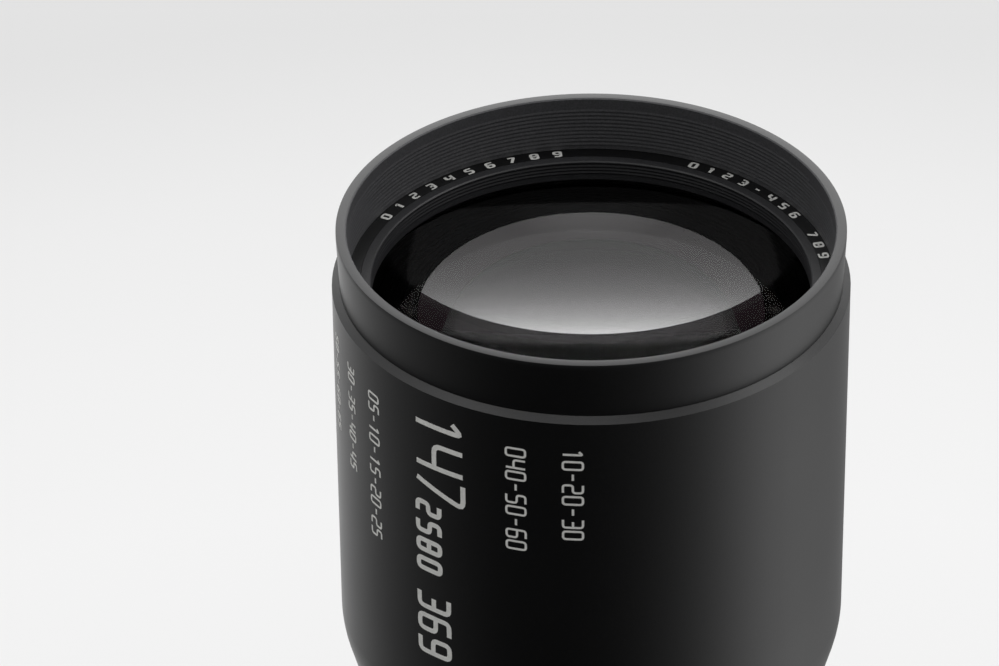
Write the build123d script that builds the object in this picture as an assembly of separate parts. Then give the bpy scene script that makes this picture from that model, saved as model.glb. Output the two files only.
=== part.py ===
"""Super telephoto lens, standing on its bayonet with the front element up.

Millimetres. +Z is the optical axis, towards the front. The origin is the
centre of the mount flange, on the face that meets the camera. +Y is the side
of the tripod foot, and -Y carries the index lines.
"""
from build123d import *
from math import asin, atan2, cos, degrees, hypot, pi, radians, sin, sqrt, tan
import os

# Clearances
running = 0.05            # radial, between pieces that turn or slide on each other
seat = 0.05               # radial, between pieces that are screwed or set together
end_play = 0.1            # axial, at each end of a ring that turns
face_gap = 0.05           # axial, under a lens edge or a screw head
over = 1.0                # how far a cutting shape reaches past the face it cuts
weld = 0.1                # how far two shapes of one piece reach into each other

# Bayonet mount
flange_radius = 30.5
flange_thickness = 2.5
tail_length = 5.0
spigot_radius = 22.0
throat_radius = 19.3
claw_reach = 1.7
claw_thickness = 1.7
claw_angle = 52.0
claw_count = 3
claw_first_angle = 90.0
mask_seat_wall = 1.95     # spigot wall around the light mask
mask_thickness = 1.2
mask_inset = 1.8
window_width = 29.0
window_height = 21.0
window_corner = 1.5
mount_screw_circle = 26.6
mount_screw_count = 4
mount_screw_first_angle = 45.0
mount_screw_radius = 0.95
mount_screw_head_radius = 1.9
mount_screw_head_height = 1.0
mount_screw_length = 8.0
mount_cross_length = 2.0
mount_cross_width = 0.45
mount_cross_depth = 0.6
lock_pin_hole_radius = 1.6
lock_pin_circle = 25.4
lock_pin_angle = 180.0
shim_thickness = 0.3
shim_bore_step = 1.0      # the shim's bore is this much wider than the throat
shim_edge_step = 0.4

# Iris
blade_count = 10
blade_open_radius = 15.0
blade_closed_radius = 3.2
blade_width = 6.8
blade_thickness = 0.12
blade_pitch = 0.25        # from one blade's level to the next
blade_start = -6.0
blade_end = 96.0
blade_pin_radius = 0.6
blade_lobe_radius = 1.4
blade_root_gap = 1.7      # from the blade's outer edge to its pivot
blade_arm = 5.2           # from the pivot to the drive pin
iris_plate_thickness = 1.6
iris_plate_edge = 0.6     # how far the plates stay outside the open blades
iris_housing_wall = 1.25
actuator_thickness = 3.0
actuator_rim = 2.24       # metal outside the drive slots
actuator_notch_depth = 1.6
iris_lock_thickness = 1.4
iris_lock_width = 3.2
iris_setback = 2.0        # from the aperture ring's shoulder to the iris housing
iris_front_lip = 0.3
blade_pin_recess = 0.3    # the pins end this far inside the outer faces
blade_slot_clearance = 0.03
blade_slot_points = 6
aperture_turn = 30.0
drive_screw_radius = 1.1
drive_screw_head_radius = 1.8
drive_screw_head_height = 1.4
drive_screw_angle = -99.4
drive_screw_tip_gap = 0.2
drive_screw_slot_width = 0.5
drive_screw_slot_depth = 0.6
drive_slot_margin = 0.1

# Rear barrel and rear lens group
rear_barrel_length = 31.2
rear_barrel_step = 0.4    # the rear barrel stands this far outside the main barrel's end
rear_neck_length = 6.0
rear_cone_length = 13.0
rear_wall_thickness = 6.2
rear_edge = 0.3
barrel_wall = 2.4
rear_spigot_length = 7.0
rear_cell_wall = 3.5
rear_cell_flange_width = 4.5
rear_cell_flange_thickness = 2.5
rear_cell_length = 33.0
rear_cell_setback = 0.7
rear_lens_radius = 15.5
rear_stop_lip = 1.6
rear_stop_lip_length = 1.4
rear_back_thickness = 2.4
rear_back_curve = 180.0
rear_cement_curve = 34.0
rear_middle_thickness = 5.6
rear_front_curve = 62.0
rear_single_edge = 4.2
rear_single_curve = 75.0
rear_single_back_curve = 225.0
rear_lock_thickness = 2.0
rear_spacer_length = 9.0
spanner_slot_width = 1.6
spanner_slot_depth = 1.0

# Main barrel, tripod collar and clamp
bore_relief = 3.0         # metal between the rear bore and the collar's seat
main_wall = 3.65          # wall under the aperture ring
iris_shoulder_depth = 2.55
iris_shoulder_length = 8.0
collar_step = 0.8         # the collar's seat stands this far above the ring's
collar_flange_height = 3.2
collar_flange_thickness = 3.8
collar_lock_thickness = 3.95
collar_tail_step = 1.0
collar_width = 28.0
collar_wall = 4.75
scale_barrel_length = 16.0
scale_barrel_step = 2.2
grub_radius = 1.0
grub_count = 3
grub_first_angle = 30.0
grub_inset = 0.4
grub_socket_depth = 1.0
collar_notch_count = 4
collar_notch_first_angle = 45.0
collar_notch_width = 3.0
collar_notch_depth = 1.2
foot_boss_half_width = 16.0
foot_boss_height = 8.2
foot_boss_corner = 2.0
foot_neck_height = 11.0
foot_neck_half_width = 14.0
foot_neck_corner = 4.0
foot_length = 90.0
foot_half_width = 19.0
foot_thickness = 10.0
foot_corner = 1.2
foot_edge = 1.8
dovetail_depth = 3.0
foot_screw_spacing = 14.0
foot_screw_radius = 2.45
foot_screw_head_radius = 4.25
foot_screw_head_height = 5.0
foot_screw_recess = 6.0
foot_screw_recess_gap = 0.2
foot_screw_grip = 7.0
foot_screw_key_radius = 2.3
foot_screw_key_depth = 2.5
quarter_inch_hole_radius = 2.6
three_eighths_hole_radius = 4.0
tripod_hole_depth = 7.5
tripod_hole_offset = 30.0
clamp_boss_radius = 7.5
clamp_boss_height = 4.2
clamp_screw_radius = 2.95
clamp_screw_length = 13.5
clamp_pad_radius = 3.9
clamp_pad_thickness = 2.0
clamp_pad_hole_gap = 0.6  # left behind the pad when it is drawn back
clamp_travel = 0.5
knob_radius = 9.5
knob_length = 13.0
knob_gap = 0.9
knob_flutes = 10
knob_flute_radius = 2.2
knob_flute_offset = 1.0
knob_cap_inset = 3.0
knob_cap_height = 0.6
knob_bore_depth = 6.5

# Aperture ring and index ring
aperture_ring_width = 16.0
aperture_ring_wall = 3.15
aperture_flutes = 60
aperture_flute_radius = 0.8
aperture_flute_offset = 0.3
aperture_flute_band = 8.0
aperture_flute_setback = 1.5
index_ring_width = 13.7
ring_edge = 0.4           # chamfer on the outer edges of the rings

# Focusing
guide_wall = 2.0
cam_wall = 1.85
cam_length = 42.0
focus_turn = 150.0
focus_travel = 20.0
focus_pin_setback = 22.0  # from the focus ring's front face to the guide pins
focus_ring_length = 106.0
focus_ring_wall = 3.95
focus_lip_height = 1.4
focus_scale_width = 20.0
focus_front_lip = 4.0
focus_bearing_width = 8.0
focus_nose_length = 10.0
grip_thickness = 2.15
grip_ribs = 48
grip_rows = 5
grip_groove_width = 1.5
grip_row_gap = 2.4
grip_groove_depth = 1.2
guide_pin_count = 3
guide_pin_first_angle = 90.0
guide_pin_radius = 2.5
guide_pin_inset = 0.2     # the pins end this far inside the cam sleeve's outside
guide_pin_margin = 1.5    # of the cell's full radius, beside the pins
guide_stud_radius = 1.5
guide_stud_length = 2.6
guide_slot_clearance = 0.05
cam_slot_clearance = 0.08
cam_end_relief = 0.02     # the slot's round ends are this much wider
ring_screw_radius = 1.0
ring_screw_head_radius = 1.9
ring_screw_head_height = 1.2
ring_screw_setback = 4.0
ring_screw_tip_gap = 0.15
ring_screw_first_angle = 30.0
stop_screw_radius = 1.2
stop_screw_reach = 3.0
stop_screw_grip = 5.0
stop_screw_end_gap = 0.2
stop_angle = 60.0
focus_cell_length = 28.0
focus_cell_land = 4.0
focus_cell_relief = 2.2
focus_cell_wall = 5.5     # from the guide tube's bore to the focusing lenses
focus_lens_lip = 1.6
focus_lens_lip_length = 3.0
focus_back_thickness = 3.0
focus_back_curve = 88.0
focus_cement_curve = 95.0
focus_front_thickness = 6.5
focus_front_curve = 210.0
focus_lock_thickness = 2.2

# Front lens group, from which the front ring and the bell take their radii
front_lens_radius = 39.0
front_lens_curve = 160.0
front_lens_back_curve = 420.0
front_lens_edge = 6.0
front_cell_wall = 1.1
front_cell_flange_thickness = 1.95
front_cell_land = 1.0     # of the cell's full radius, below the spacer
front_cell_rear_wall = 3.95
front_cell_rear_length = 5.2
front_cell_tail = 2.0
front_spacer_lip = 2.3    # how far the spacer covers the second element's clear edge
front_spacer_width = 1.6
front_spacer_thickness = 6.2
front_spacer_slope = 2.4
front_spacer_back_step = 2.0
second_lens_step = 7.0    # the second element's radius is this much smaller
second_lens_curve = 150.0
second_lens_back_curve = 120.0
second_lens_thickness = 11.0
second_lens_gap = 2.4     # between the first and second elements, on the axis
third_lens_back_curve = 400.0
third_lens_thickness = 4.0
cement = 0.02
lens_lip = 1.4
front_group_lock_thickness = 3.1

# Front ring with its filter thread, name ring and retaining ring
front_ring_step = 0.35    # from the spigot out to the front ring
front_ring_taper = 0.4
front_ring_band = 1.0     # of full radius at the rim, above the taper
front_ring_height = 10.07
front_ring_spigot = 5.9
front_ring_spigot_wall = 1.05
rim_edge = 0.15
rim_bore_edge = 0.2
mouth_edge = 0.3
lead_in_step = 0.6
lead_in_depth = 2.1
thread_step = 0.2         # from the retaining ring out to the thread's crests
name_ring_depth = 10.5    # from the rim to the printed face
name_ring_thickness = 1.0
thread_undercut = 1.0     # plain relief between the name ring's face and the thread
lock_ring_shoulder = 1.4  # from the first element out to the ring's thread
lock_ring_lip = 1.7       # how far the ring covers the first element
lock_ring_face = 1.75
lock_ring_ridges = 4
lock_ring_ridge_pitch = 0.8
lock_ring_ridge_depth = 0.3
lock_ring_thickness = 2.6

# Front barrel
guide_flange_thickness = 3.1
guide_spigot_length = 4.0
front_flange_thickness = 5.0
front_tail_step = 0.6     # the front barrel's end stands this far outside the focus ring
cone_half_angle = 15.0
cone_wall_drop = 2.0
shoulder_radius = 19.0
bell_step = 0.9           # from the front ring out to the bell
bell_length = 65.93
front_barrel_screws = 6
front_screw_radius = 1.25
front_screw_head_radius = 2.5
front_screw_head_height = 2.2
front_screw_edge = 2.6    # from the guide tube's flange edge in to the screws
front_screw_tip_gap = 0.3
front_screw_key_radius = 1.3
front_screw_key_depth = 1.2
baffle_reach = 13.6
baffle_thickness = 2.4
baffle_edge = 0.5
baffle_wall = 1.2
baffle_wall_height = 3.0

# Radii of the front end, from the first element outwards
lock_ring_radius = front_lens_radius + lock_ring_shoulder
lock_ring_inner_radius = front_lens_radius - lock_ring_lip
name_ring_inner_radius = lock_ring_inner_radius + lock_ring_face
front_cell_radius = lock_ring_radius + seat + front_cell_wall
bell_bore_radius = front_cell_radius + seat
spigot_inner_radius = front_cell_radius + seat
spigot_outer_radius = spigot_inner_radius + front_ring_spigot_wall
front_ring_radius = spigot_outer_radius + front_ring_step
front_ring_foot_radius = front_ring_radius - front_ring_taper
bell_radius = front_ring_radius + bell_step
thread_minor_radius = lock_ring_radius + thread_step
lead_in_radius = thread_minor_radius + lead_in_step
second_lens_radius = front_lens_radius - second_lens_step
second_contact_radius = second_lens_radius - lens_lip
front_cell_rear_radius = second_lens_radius + seat + front_cell_rear_wall
front_spacer_opening = second_contact_radius - front_spacer_lip
baffle_opening_radius = bell_bore_radius - baffle_reach

# Radii that follow from the iris outwards
blade_outer_radius = blade_open_radius + blade_width
pivot_circle = blade_outer_radius + blade_root_gap
blade_swing = 2 * asin((blade_open_radius - blade_closed_radius) / (2 * pivot_circle))


def drive_pin(swing):
    """Place of the first blade's drive pin when the blade has swung in by an angle."""
    angle = -pi / 2 - blade_swing / 2 + swing
    return pivot_circle + blade_arm * cos(angle), blade_arm * sin(angle)


actuator_radius = hypot(*drive_pin(blade_swing)) + blade_pin_radius + running + actuator_rim
iris_bore_radius = actuator_radius + running
iris_housing_radius = iris_bore_radius + iris_housing_wall
barrel_bore_radius = iris_housing_radius + seat
guide_radius = iris_housing_radius
guide_bore_radius = guide_radius - guide_wall
focus_lens_radius = guide_bore_radius - focus_cell_wall
cam_bore_radius = guide_radius + running
cam_radius = cam_bore_radius + cam_wall
focus_bore_radius = cam_radius + seat
nose_radius = focus_bore_radius - running
focus_seat_radius = focus_bore_radius + focus_ring_wall
focus_lip_radius = focus_seat_radius + focus_lip_height
grip_radius = focus_seat_radius + seat + grip_thickness
front_tail_radius = focus_lip_radius + front_tail_step
guide_flange_radius = front_tail_radius - barrel_wall
front_screw_circle = guide_flange_radius - front_screw_edge
ring_seat_radius = barrel_bore_radius + main_wall
aperture_bore_radius = ring_seat_radius + running
aperture_ring_radius = aperture_bore_radius + aperture_ring_wall
collar_seat_radius = ring_seat_radius + collar_step
collar_tail_radius = collar_seat_radius - collar_tail_step
rear_bore_radius = collar_tail_radius - bore_relief
rear_barrel_radius = collar_tail_radius + rear_barrel_step
rear_cell_radius = rear_lens_radius + rear_cell_wall
rear_cell_flange_radius = rear_cell_radius + rear_cell_flange_width
collar_bore_radius = collar_seat_radius + running
collar_radius = collar_bore_radius + collar_wall
collar_flange_radius = collar_seat_radius + collar_flange_height
scale_barrel_radius = ring_seat_radius + scale_barrel_step
stop_circle = (ring_seat_radius + seat + aperture_ring_radius) / 2

# Stations along the axis, from the flange to the front
z_barrel_back = flange_thickness + shim_thickness
z_collar_lock = z_barrel_back + rear_barrel_length
z_collar_back = z_collar_lock + face_gap + collar_lock_thickness + end_play
z_collar_front = z_collar_back + collar_width
z_collar_flange = z_collar_front + end_play
z_scale_back = z_collar_flange + collar_flange_thickness
z_aperture_shoulder = z_scale_back + scale_barrel_length
z_aperture_back = z_aperture_shoulder + end_play
z_aperture_front = z_aperture_back + aperture_ring_width
z_index_back = z_aperture_front + end_play
z_index_front = z_index_back + index_ring_width
z_focus_back = z_index_front + end_play
z_focus_front = z_focus_back + focus_ring_length
z_front_barrel = z_focus_front + 2 * end_play
z_guide_flange_front = z_front_barrel + guide_flange_thickness
z_front_flange_front = z_guide_flange_front + front_flange_thickness
cone_turn = radians(cone_half_angle)
z_cone_front = z_front_barrel + (
    (bell_radius - shoulder_radius * (1 - cos(cone_turn)) - front_tail_radius) / tan(cone_turn)
)
z_shoulder_front = z_cone_front + shoulder_radius * sin(cone_turn)
z_bell_front = z_shoulder_front + bell_length
z_rim = z_bell_front + front_ring_height
z_collar_middle = (z_collar_back + z_collar_front) / 2


def turned(*points):
    """A solid of revolution about the optical axis from an outline of (radius, z)."""
    return revolve(Plane.XZ * make_face(Polyline(*points, close=True)), Axis.Z)


def tube(inner, outer, bottom, top):
    return turned((inner, bottom), (outer, bottom), (outer, top), (inner, top))


def edged_tube(inner, outer, bottom, top, edge):
    """A tube whose two outer edges are chamfered."""
    return turned(
        (inner, bottom), (outer - edge, bottom), (outer, bottom + edge),
        (outer, top - edge), (outer - edge, top), (inner, top),
    )


def upright(radius, height):
    return Cylinder(radius, height, align=(Align.CENTER, Align.CENTER, Align.MIN))


def axial_rod(radius, circle, angle, bottom, top):
    return Rot(0, 0, angle) * Pos(circle, 0, bottom) * upright(radius, top - bottom)


def radial_rod(radius, inner, outer, angle, z):
    return Rot(0, 0, angle) * Pos(inner, 0, z) * Rot(0, 90, 0) * upright(radius, outer - inner)


def foot_rod(radius, near, far, z):
    """A rod along +Y, towards the foot."""
    return Pos(0, near, z) * Rot(-90, 0, 0) * upright(radius, far - near)


def angles(count, first=0.0):
    return [first + 360.0 * i / count for i in range(count)]


def together(pieces):
    """Several separate solids as one node."""
    return Compound(children=[Solid(piece.solid().wrapped) for piece in pieces])


def arc_groove(circle, width, bottom, top, start, turn):
    """A round-ended groove along a circle, open along the axis."""
    middle = radians(start + turn / 2)
    first, last = radians(start), radians(start + turn)
    path = ThreePointArc(
        (circle * cos(first), circle * sin(first)),
        (circle * cos(middle), circle * sin(middle)),
        (circle * cos(last), circle * sin(last)),
    )
    ends = [Pos(*(path @ t)) * Circle(width / 2) for t in (0, 1)]
    outline = trace(path, width) + ends
    return Pos(0, 0, bottom) * extrude(outline, top - bottom)


def tube_sector(inner, outer, height, turn):
    """Part of a tube, as far round as the turn."""
    profile = Plane.XZ * make_face(
        Polyline((inner, 0), (outer, 0), (outer, height), (inner, height), close=True)
    )
    return revolve(profile, Axis.Z, turn)


def wall_slot(radius, inner, outer, z, start, turn):
    """A round-ended slot through a tube's wall, along its circle."""
    middle = Rot(0, 0, start) * Pos(0, 0, z - radius) * tube_sector(inner, outer, 2 * radius, turn)
    ends = [radial_rod(radius, inner, outer, start + a, z) for a in (0, turn)]
    return [middle] + ends


def sag(curve, radius):
    return curve - sqrt(curve * curve - radius * radius)


def lens(radius, front, front_curve, back, back_curve):
    """A lens from its two vertices. A curve is positive where the face is convex
    and negative where it is hollow; the front vertex is the upper one."""
    def depth(curve, r):
        return sag(abs(curve), r) * (1 if curve > 0 else -1)

    top = front - depth(front_curve, radius)
    low = back + depth(back_curve, radius)
    half = radius / 2
    outline = [
        ThreePointArc((0, front), (half, front - depth(front_curve, half)), (radius, top)),
        Line((radius, top), (radius, low)),
        ThreePointArc((radius, low), (half, back + depth(back_curve, half)), (0, back)),
        Line((0, back), (0, front)),
    ]
    return revolve(Plane.XZ * make_face(outline), Axis.Z)


# Bayonet mount, its screws, shim and light mask

def make_bayonet_mount():
    mask_radius = spigot_radius - mask_seat_wall + seat
    body = turned(
        (throat_radius, flange_thickness), (flange_radius, flange_thickness),
        (flange_radius, 0), (spigot_radius, 0), (spigot_radius, -tail_length),
        (mask_radius, -tail_length), (mask_radius, -mask_inset), (throat_radius, -mask_inset),
    )
    claw = Pos(0, 0, -tail_length) * tube_sector(
        mask_radius, spigot_radius + claw_reach, claw_thickness, claw_angle
    )
    body += [Rot(0, 0, a - claw_angle / 2) * claw for a in angles(claw_count, claw_first_angle)]
    body -= [screw_hole(a) for a in angles(mount_screw_count, mount_screw_first_angle)]
    return body - axial_rod(
        lock_pin_hole_radius, lock_pin_circle, lock_pin_angle, -over, flange_thickness + over
    )


def screw_hole(angle):
    """Hole and countersink of one mount screw, through flange, shim and rear wall."""
    hole = axial_rod(
        mount_screw_radius + seat, mount_screw_circle, angle, -over, mount_screw_length + 2 * face_gap
    )
    sink = Rot(0, 0, angle) * Pos(mount_screw_circle, 0, 0) * Cone(
        mount_screw_head_radius + 2 * seat, mount_screw_radius + seat, mount_screw_head_height + seat,
        align=(Align.CENTER, Align.CENTER, Align.MIN),
    )
    return hole + sink


def make_mount_screws():
    screws = []
    for a in angles(mount_screw_count, mount_screw_first_angle):
        head = Pos(mount_screw_circle, 0, 0) * Cone(
            mount_screw_head_radius, mount_screw_radius, mount_screw_head_height,
            align=(Align.CENTER, Align.CENTER, Align.MIN),
        )
        shank = Pos(mount_screw_circle, 0, 0) * upright(mount_screw_radius, mount_screw_length)
        recess = [
            Pos(mount_screw_circle, 0, 0) * Rot(0, 0, turn)
            * Box(mount_cross_length, mount_cross_width, 2 * mount_cross_depth)
            for turn in (0, 90)
        ]
        screws.append(Rot(0, 0, a) * (head + shank - recess))
    return together(screws)


def make_mount_shim():
    shim = tube(
        throat_radius + shim_bore_step, flange_radius - shim_edge_step, flange_thickness, z_barrel_back
    )
    return shim - [screw_hole(a) for a in angles(mount_screw_count, mount_screw_first_angle)]


def make_light_mask():
    radius = spigot_radius - mask_seat_wall
    top = -mask_inset
    plate = Pos(0, 0, top - mask_thickness) * upright(radius, mask_thickness)
    window = Pos(0, 0, top) * Box(window_width, window_height, 4 * mask_thickness)
    return plate - fillet(window.edges().filter_by(Axis.Z), window_corner)


# Rear barrel and the rear lens group

z_rear_wall = z_barrel_back + rear_wall_thickness
rear_inner_radius = rear_bore_radius - seat - barrel_wall
z_rear_cell_back = z_barrel_back + rear_cell_setback
z_rear_cell_front = z_rear_cell_back + rear_cell_length


def make_rear_barrel():
    z_neck = z_barrel_back + rear_neck_length
    z_cone = z_neck + rear_cone_length
    spigot = rear_bore_radius - seat
    body = turned(
        (rear_cell_radius + seat, z_barrel_back), (flange_radius - rear_edge, z_barrel_back),
        (flange_radius, z_barrel_back + rear_edge), (flange_radius, z_neck),
        (rear_barrel_radius, z_cone), (rear_barrel_radius, z_collar_lock - ring_edge),
        (rear_barrel_radius - ring_edge, z_collar_lock), (spigot, z_collar_lock),
        (spigot, z_collar_lock + rear_spigot_length),
        (rear_inner_radius, z_collar_lock + rear_spigot_length),
        (rear_inner_radius, z_rear_wall), (rear_cell_radius + seat, z_rear_wall),
    )
    return body - [screw_hole(a) for a in angles(mount_screw_count, mount_screw_first_angle)]


rear_lens_bore = rear_lens_radius + seat
z_rear_lip = z_rear_cell_back + rear_stop_lip_length
rear_doublet_back = z_rear_lip + face_gap + sag(rear_back_curve, rear_lens_radius)
rear_doublet_middle = rear_doublet_back + rear_back_thickness
rear_doublet_front = rear_doublet_middle + rear_middle_thickness
z_rear_spacer_back = rear_doublet_front - sag(rear_front_curve, rear_lens_radius - rear_stop_lip) + face_gap
z_rear_spacer_front = z_rear_spacer_back + rear_spacer_length
z_rear_lock_back = z_rear_spacer_front + rear_single_edge + 2 * face_gap


def make_rear_cell():
    flange_back = z_rear_wall + face_gap
    body = turned(
        (rear_lens_radius - rear_stop_lip, z_rear_cell_back), (rear_cell_radius, z_rear_cell_back),
        (rear_cell_radius, flange_back), (rear_cell_flange_radius, flange_back),
        (rear_cell_flange_radius, flange_back + rear_cell_flange_thickness),
        (rear_cell_radius, flange_back + rear_cell_flange_thickness),
        (rear_cell_radius, z_rear_cell_front), (rear_lens_bore, z_rear_cell_front),
        (rear_lens_bore, z_rear_lip), (rear_lens_radius - rear_stop_lip, z_rear_lip),
    )
    return body


def make_rear_back_element():
    return lens(
        rear_lens_radius, rear_doublet_middle, -rear_cement_curve, rear_doublet_back, -rear_back_curve
    )


def make_rear_middle_element():
    return lens(
        rear_lens_radius, rear_doublet_front, rear_front_curve, rear_doublet_middle + cement,
        rear_cement_curve,
    )


def make_rear_spacer():
    return tube(rear_lens_radius - rear_stop_lip, rear_lens_radius, z_rear_spacer_back, z_rear_spacer_front)


def make_rear_front_element():
    back_edge = z_rear_spacer_front + face_gap
    dip = sag(rear_single_curve, rear_lens_radius)
    back_dip = sag(rear_single_back_curve, rear_lens_radius)
    return lens(
        rear_lens_radius, back_edge + rear_single_edge - dip, -rear_single_curve,
        back_edge + back_dip, -rear_single_back_curve,
    )


def spanner_slots(radius, face):
    """Two slots for a pin spanner, across one face of a screwed ring."""
    return Pos(0, 0, face) * Box(4 * radius, spanner_slot_width, 2 * spanner_slot_depth)


def make_rear_lock_ring():
    top = z_rear_lock_back + rear_lock_thickness
    ring = tube(rear_lens_radius - rear_stop_lip, rear_lens_radius, z_rear_lock_back, top)
    return ring - spanner_slots(rear_lens_radius, top)


# Main barrel and the ring that keeps the collar on it

z_iris_back = z_aperture_shoulder + iris_setback
z_actuator_back = z_iris_back + iris_plate_thickness + blade_pitch * (blade_count + 1)
z_actuator_front = z_actuator_back + actuator_thickness
z_drive_screw = z_actuator_back + actuator_thickness / 2
z_iris_lock_back = z_actuator_front + end_play
z_iris_front = z_iris_lock_back + iris_lock_thickness + iris_front_lip
z_guide_back = z_iris_front + face_gap
z_nose_front = z_index_front + focus_nose_length


def aperture_slots(inner, outer):
    """Slots that let the drive screw travel with the aperture ring."""
    return wall_slot(
        drive_screw_radius + drive_slot_margin, inner, outer, z_drive_screw, drive_screw_angle,
        aperture_turn,
    )


def make_main_barrel():
    iris_shoulder_radius = barrel_bore_radius - iris_shoulder_depth
    body = turned(
        (rear_bore_radius, z_collar_lock), (collar_tail_radius, z_collar_lock),
        (collar_tail_radius, z_collar_back - end_play), (collar_seat_radius, z_collar_back - end_play),
        (collar_seat_radius, z_collar_flange), (collar_flange_radius - ring_edge, z_collar_flange),
        (collar_flange_radius, z_collar_flange + ring_edge),
        (collar_flange_radius, z_scale_back - ring_edge), (collar_flange_radius - ring_edge, z_scale_back),
        (scale_barrel_radius, z_scale_back), (scale_barrel_radius, z_aperture_shoulder - ring_edge),
        (scale_barrel_radius - ring_edge, z_aperture_shoulder), (ring_seat_radius, z_aperture_shoulder),
        (ring_seat_radius, z_index_front), (nose_radius, z_index_front), (nose_radius, z_nose_front),
        (barrel_bore_radius, z_nose_front), (barrel_bore_radius, z_iris_back - face_gap),
        (iris_shoulder_radius, z_iris_back - face_gap),
        (iris_shoulder_radius, z_iris_back - iris_shoulder_length),
        (rear_bore_radius, z_iris_back - iris_shoulder_length),
    )
    return body - aperture_slots(barrel_bore_radius - over, ring_seat_radius + over)


def make_collar_lock_ring():
    back = z_collar_lock + face_gap
    front = back + collar_lock_thickness
    middle = (back + front) / 2
    ring = edged_tube(collar_tail_radius + seat, collar_flange_radius, back, front, ring_edge)
    ring -= [
        radial_rod(grub_radius + seat, collar_tail_radius, collar_flange_radius + over, a, middle)
        for a in angles(grub_count, grub_first_angle)
    ]
    notch = Pos(collar_flange_radius, 0, back) * Box(
        2 * collar_notch_depth, collar_notch_width, 2 * collar_notch_depth
    )
    return ring - [Rot(0, 0, a) * notch for a in angles(collar_notch_count, collar_notch_first_angle)]


def make_collar_grub_screws():
    middle = z_collar_lock + face_gap + collar_lock_thickness / 2
    outer = collar_flange_radius - grub_inset
    return together([
        radial_rod(grub_radius, collar_tail_radius + seat, outer, a, middle)
        - radial_rod(grub_radius / 2, outer - grub_socket_depth, outer + over, a, middle)
        for a in angles(grub_count, grub_first_angle)
    ])


# Tripod collar, foot and clamp

y_boss = collar_radius + foot_boss_height
y_plate = y_boss + foot_neck_height
y_foot = y_plate + foot_thickness
x_boss = collar_radius + clamp_boss_height
x_pad_front = collar_bore_radius + clamp_travel
x_pad_back = x_pad_front + clamp_pad_thickness
x_knob = x_boss + knob_gap


def foot_screw_places():
    return [z_collar_middle - foot_screw_spacing / 2, z_collar_middle + foot_screw_spacing / 2]


def make_tripod_collar():
    body = edged_tube(0, collar_radius, z_collar_back, z_collar_front, ring_edge)
    boss = Pos(0, 0, z_collar_back + ring_edge) * extrude(
        make_face(Polyline(
            (-foot_boss_half_width, 0), (foot_boss_half_width, 0),
            (foot_boss_half_width, y_boss), (-foot_boss_half_width, y_boss), close=True,
        )),
        collar_width - 2 * ring_edge,
    )
    boss = fillet(boss.edges().filter_by(Axis.Y), foot_boss_corner)
    body += [boss, radial_rod(clamp_boss_radius, 0, x_boss, 0, z_collar_middle)]
    body -= Pos(0, 0, z_collar_back - over) * upright(collar_bore_radius, collar_width + 2 * over)
    body -= [
        foot_rod(foot_screw_radius + seat, y_boss - foot_screw_grip - face_gap, y_boss + over, z)
        for z in foot_screw_places()
    ]
    body -= radial_rod(
        clamp_pad_radius + seat, collar_bore_radius - 2 * over, x_pad_back + clamp_pad_hole_gap, 0,
        z_collar_middle,
    )
    return body - radial_rod(
        clamp_screw_radius + seat, collar_bore_radius, x_boss + over, 0, z_collar_middle
    )


def make_tripod_foot():
    inner = foot_half_width - dovetail_depth
    plate = make_face(Polyline(
        (-inner, y_plate), (inner, y_plate), (inner, y_foot - foot_edge - dovetail_depth),
        (foot_half_width, y_foot - foot_edge), (foot_half_width, y_foot - ring_edge),
        (foot_half_width - ring_edge, y_foot), (ring_edge - foot_half_width, y_foot),
        (-foot_half_width, y_foot - ring_edge), (-foot_half_width, y_foot - foot_edge),
        (-inner, y_foot - foot_edge - dovetail_depth), close=True,
    ))
    body = Pos(0, 0, z_collar_middle - foot_length / 2) * extrude(plate, foot_length)
    body = fillet(body.edges().filter_by(Axis.Y), foot_corner)
    neck = make_face(Polyline(
        (-foot_neck_half_width, y_boss), (foot_neck_half_width, y_boss),
        (foot_neck_half_width, y_plate + over), (-foot_neck_half_width, y_plate + over), close=True,
    ))
    neck = Pos(0, 0, z_collar_back + ring_edge) * extrude(neck, collar_width - 2 * ring_edge)
    body += fillet(neck.edges().filter_by(Axis.Y), foot_neck_corner)
    for z in foot_screw_places():
        body -= foot_rod(foot_screw_radius + seat, y_boss - over, y_foot + over, z)
        body -= foot_rod(
            foot_screw_head_radius + foot_screw_recess_gap, y_foot - foot_screw_recess, y_foot + over, z
        )
    bottom = y_foot - tripod_hole_depth
    body -= foot_rod(quarter_inch_hole_radius, bottom, y_foot + over, z_collar_middle - tripod_hole_offset)
    return body - foot_rod(
        three_eighths_hole_radius, bottom, y_foot + over, z_collar_middle + tripod_hole_offset
    )


def make_foot_screws():
    screws = []
    head_base = y_foot - foot_screw_recess + face_gap
    for z in foot_screw_places():
        shank = foot_rod(foot_screw_radius, y_boss - foot_screw_grip, head_base, z)
        head = foot_rod(foot_screw_head_radius, head_base, head_base + foot_screw_head_height, z)
        key = Pos(0, head_base + foot_screw_head_height, z) * Rot(90, 0, 0) * extrude(
            RegularPolygon(foot_screw_key_radius, 6), foot_screw_key_depth
        )
        screws.append(shank + head - key)
    return together(screws)


def make_clamp_pad():
    """Brass pad, hollowed to the radius of the barrel that it presses on."""
    pad = radial_rod(clamp_pad_radius, collar_bore_radius - 2 * over, x_pad_back, 0, z_collar_middle)
    face = Pos(clamp_travel, 0, 0) * upright(collar_bore_radius, z_rim)
    return pad - face


def make_clamp_screw():
    start = x_pad_back + face_gap
    return radial_rod(clamp_screw_radius, start, start + clamp_screw_length, 0, z_collar_middle)


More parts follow.
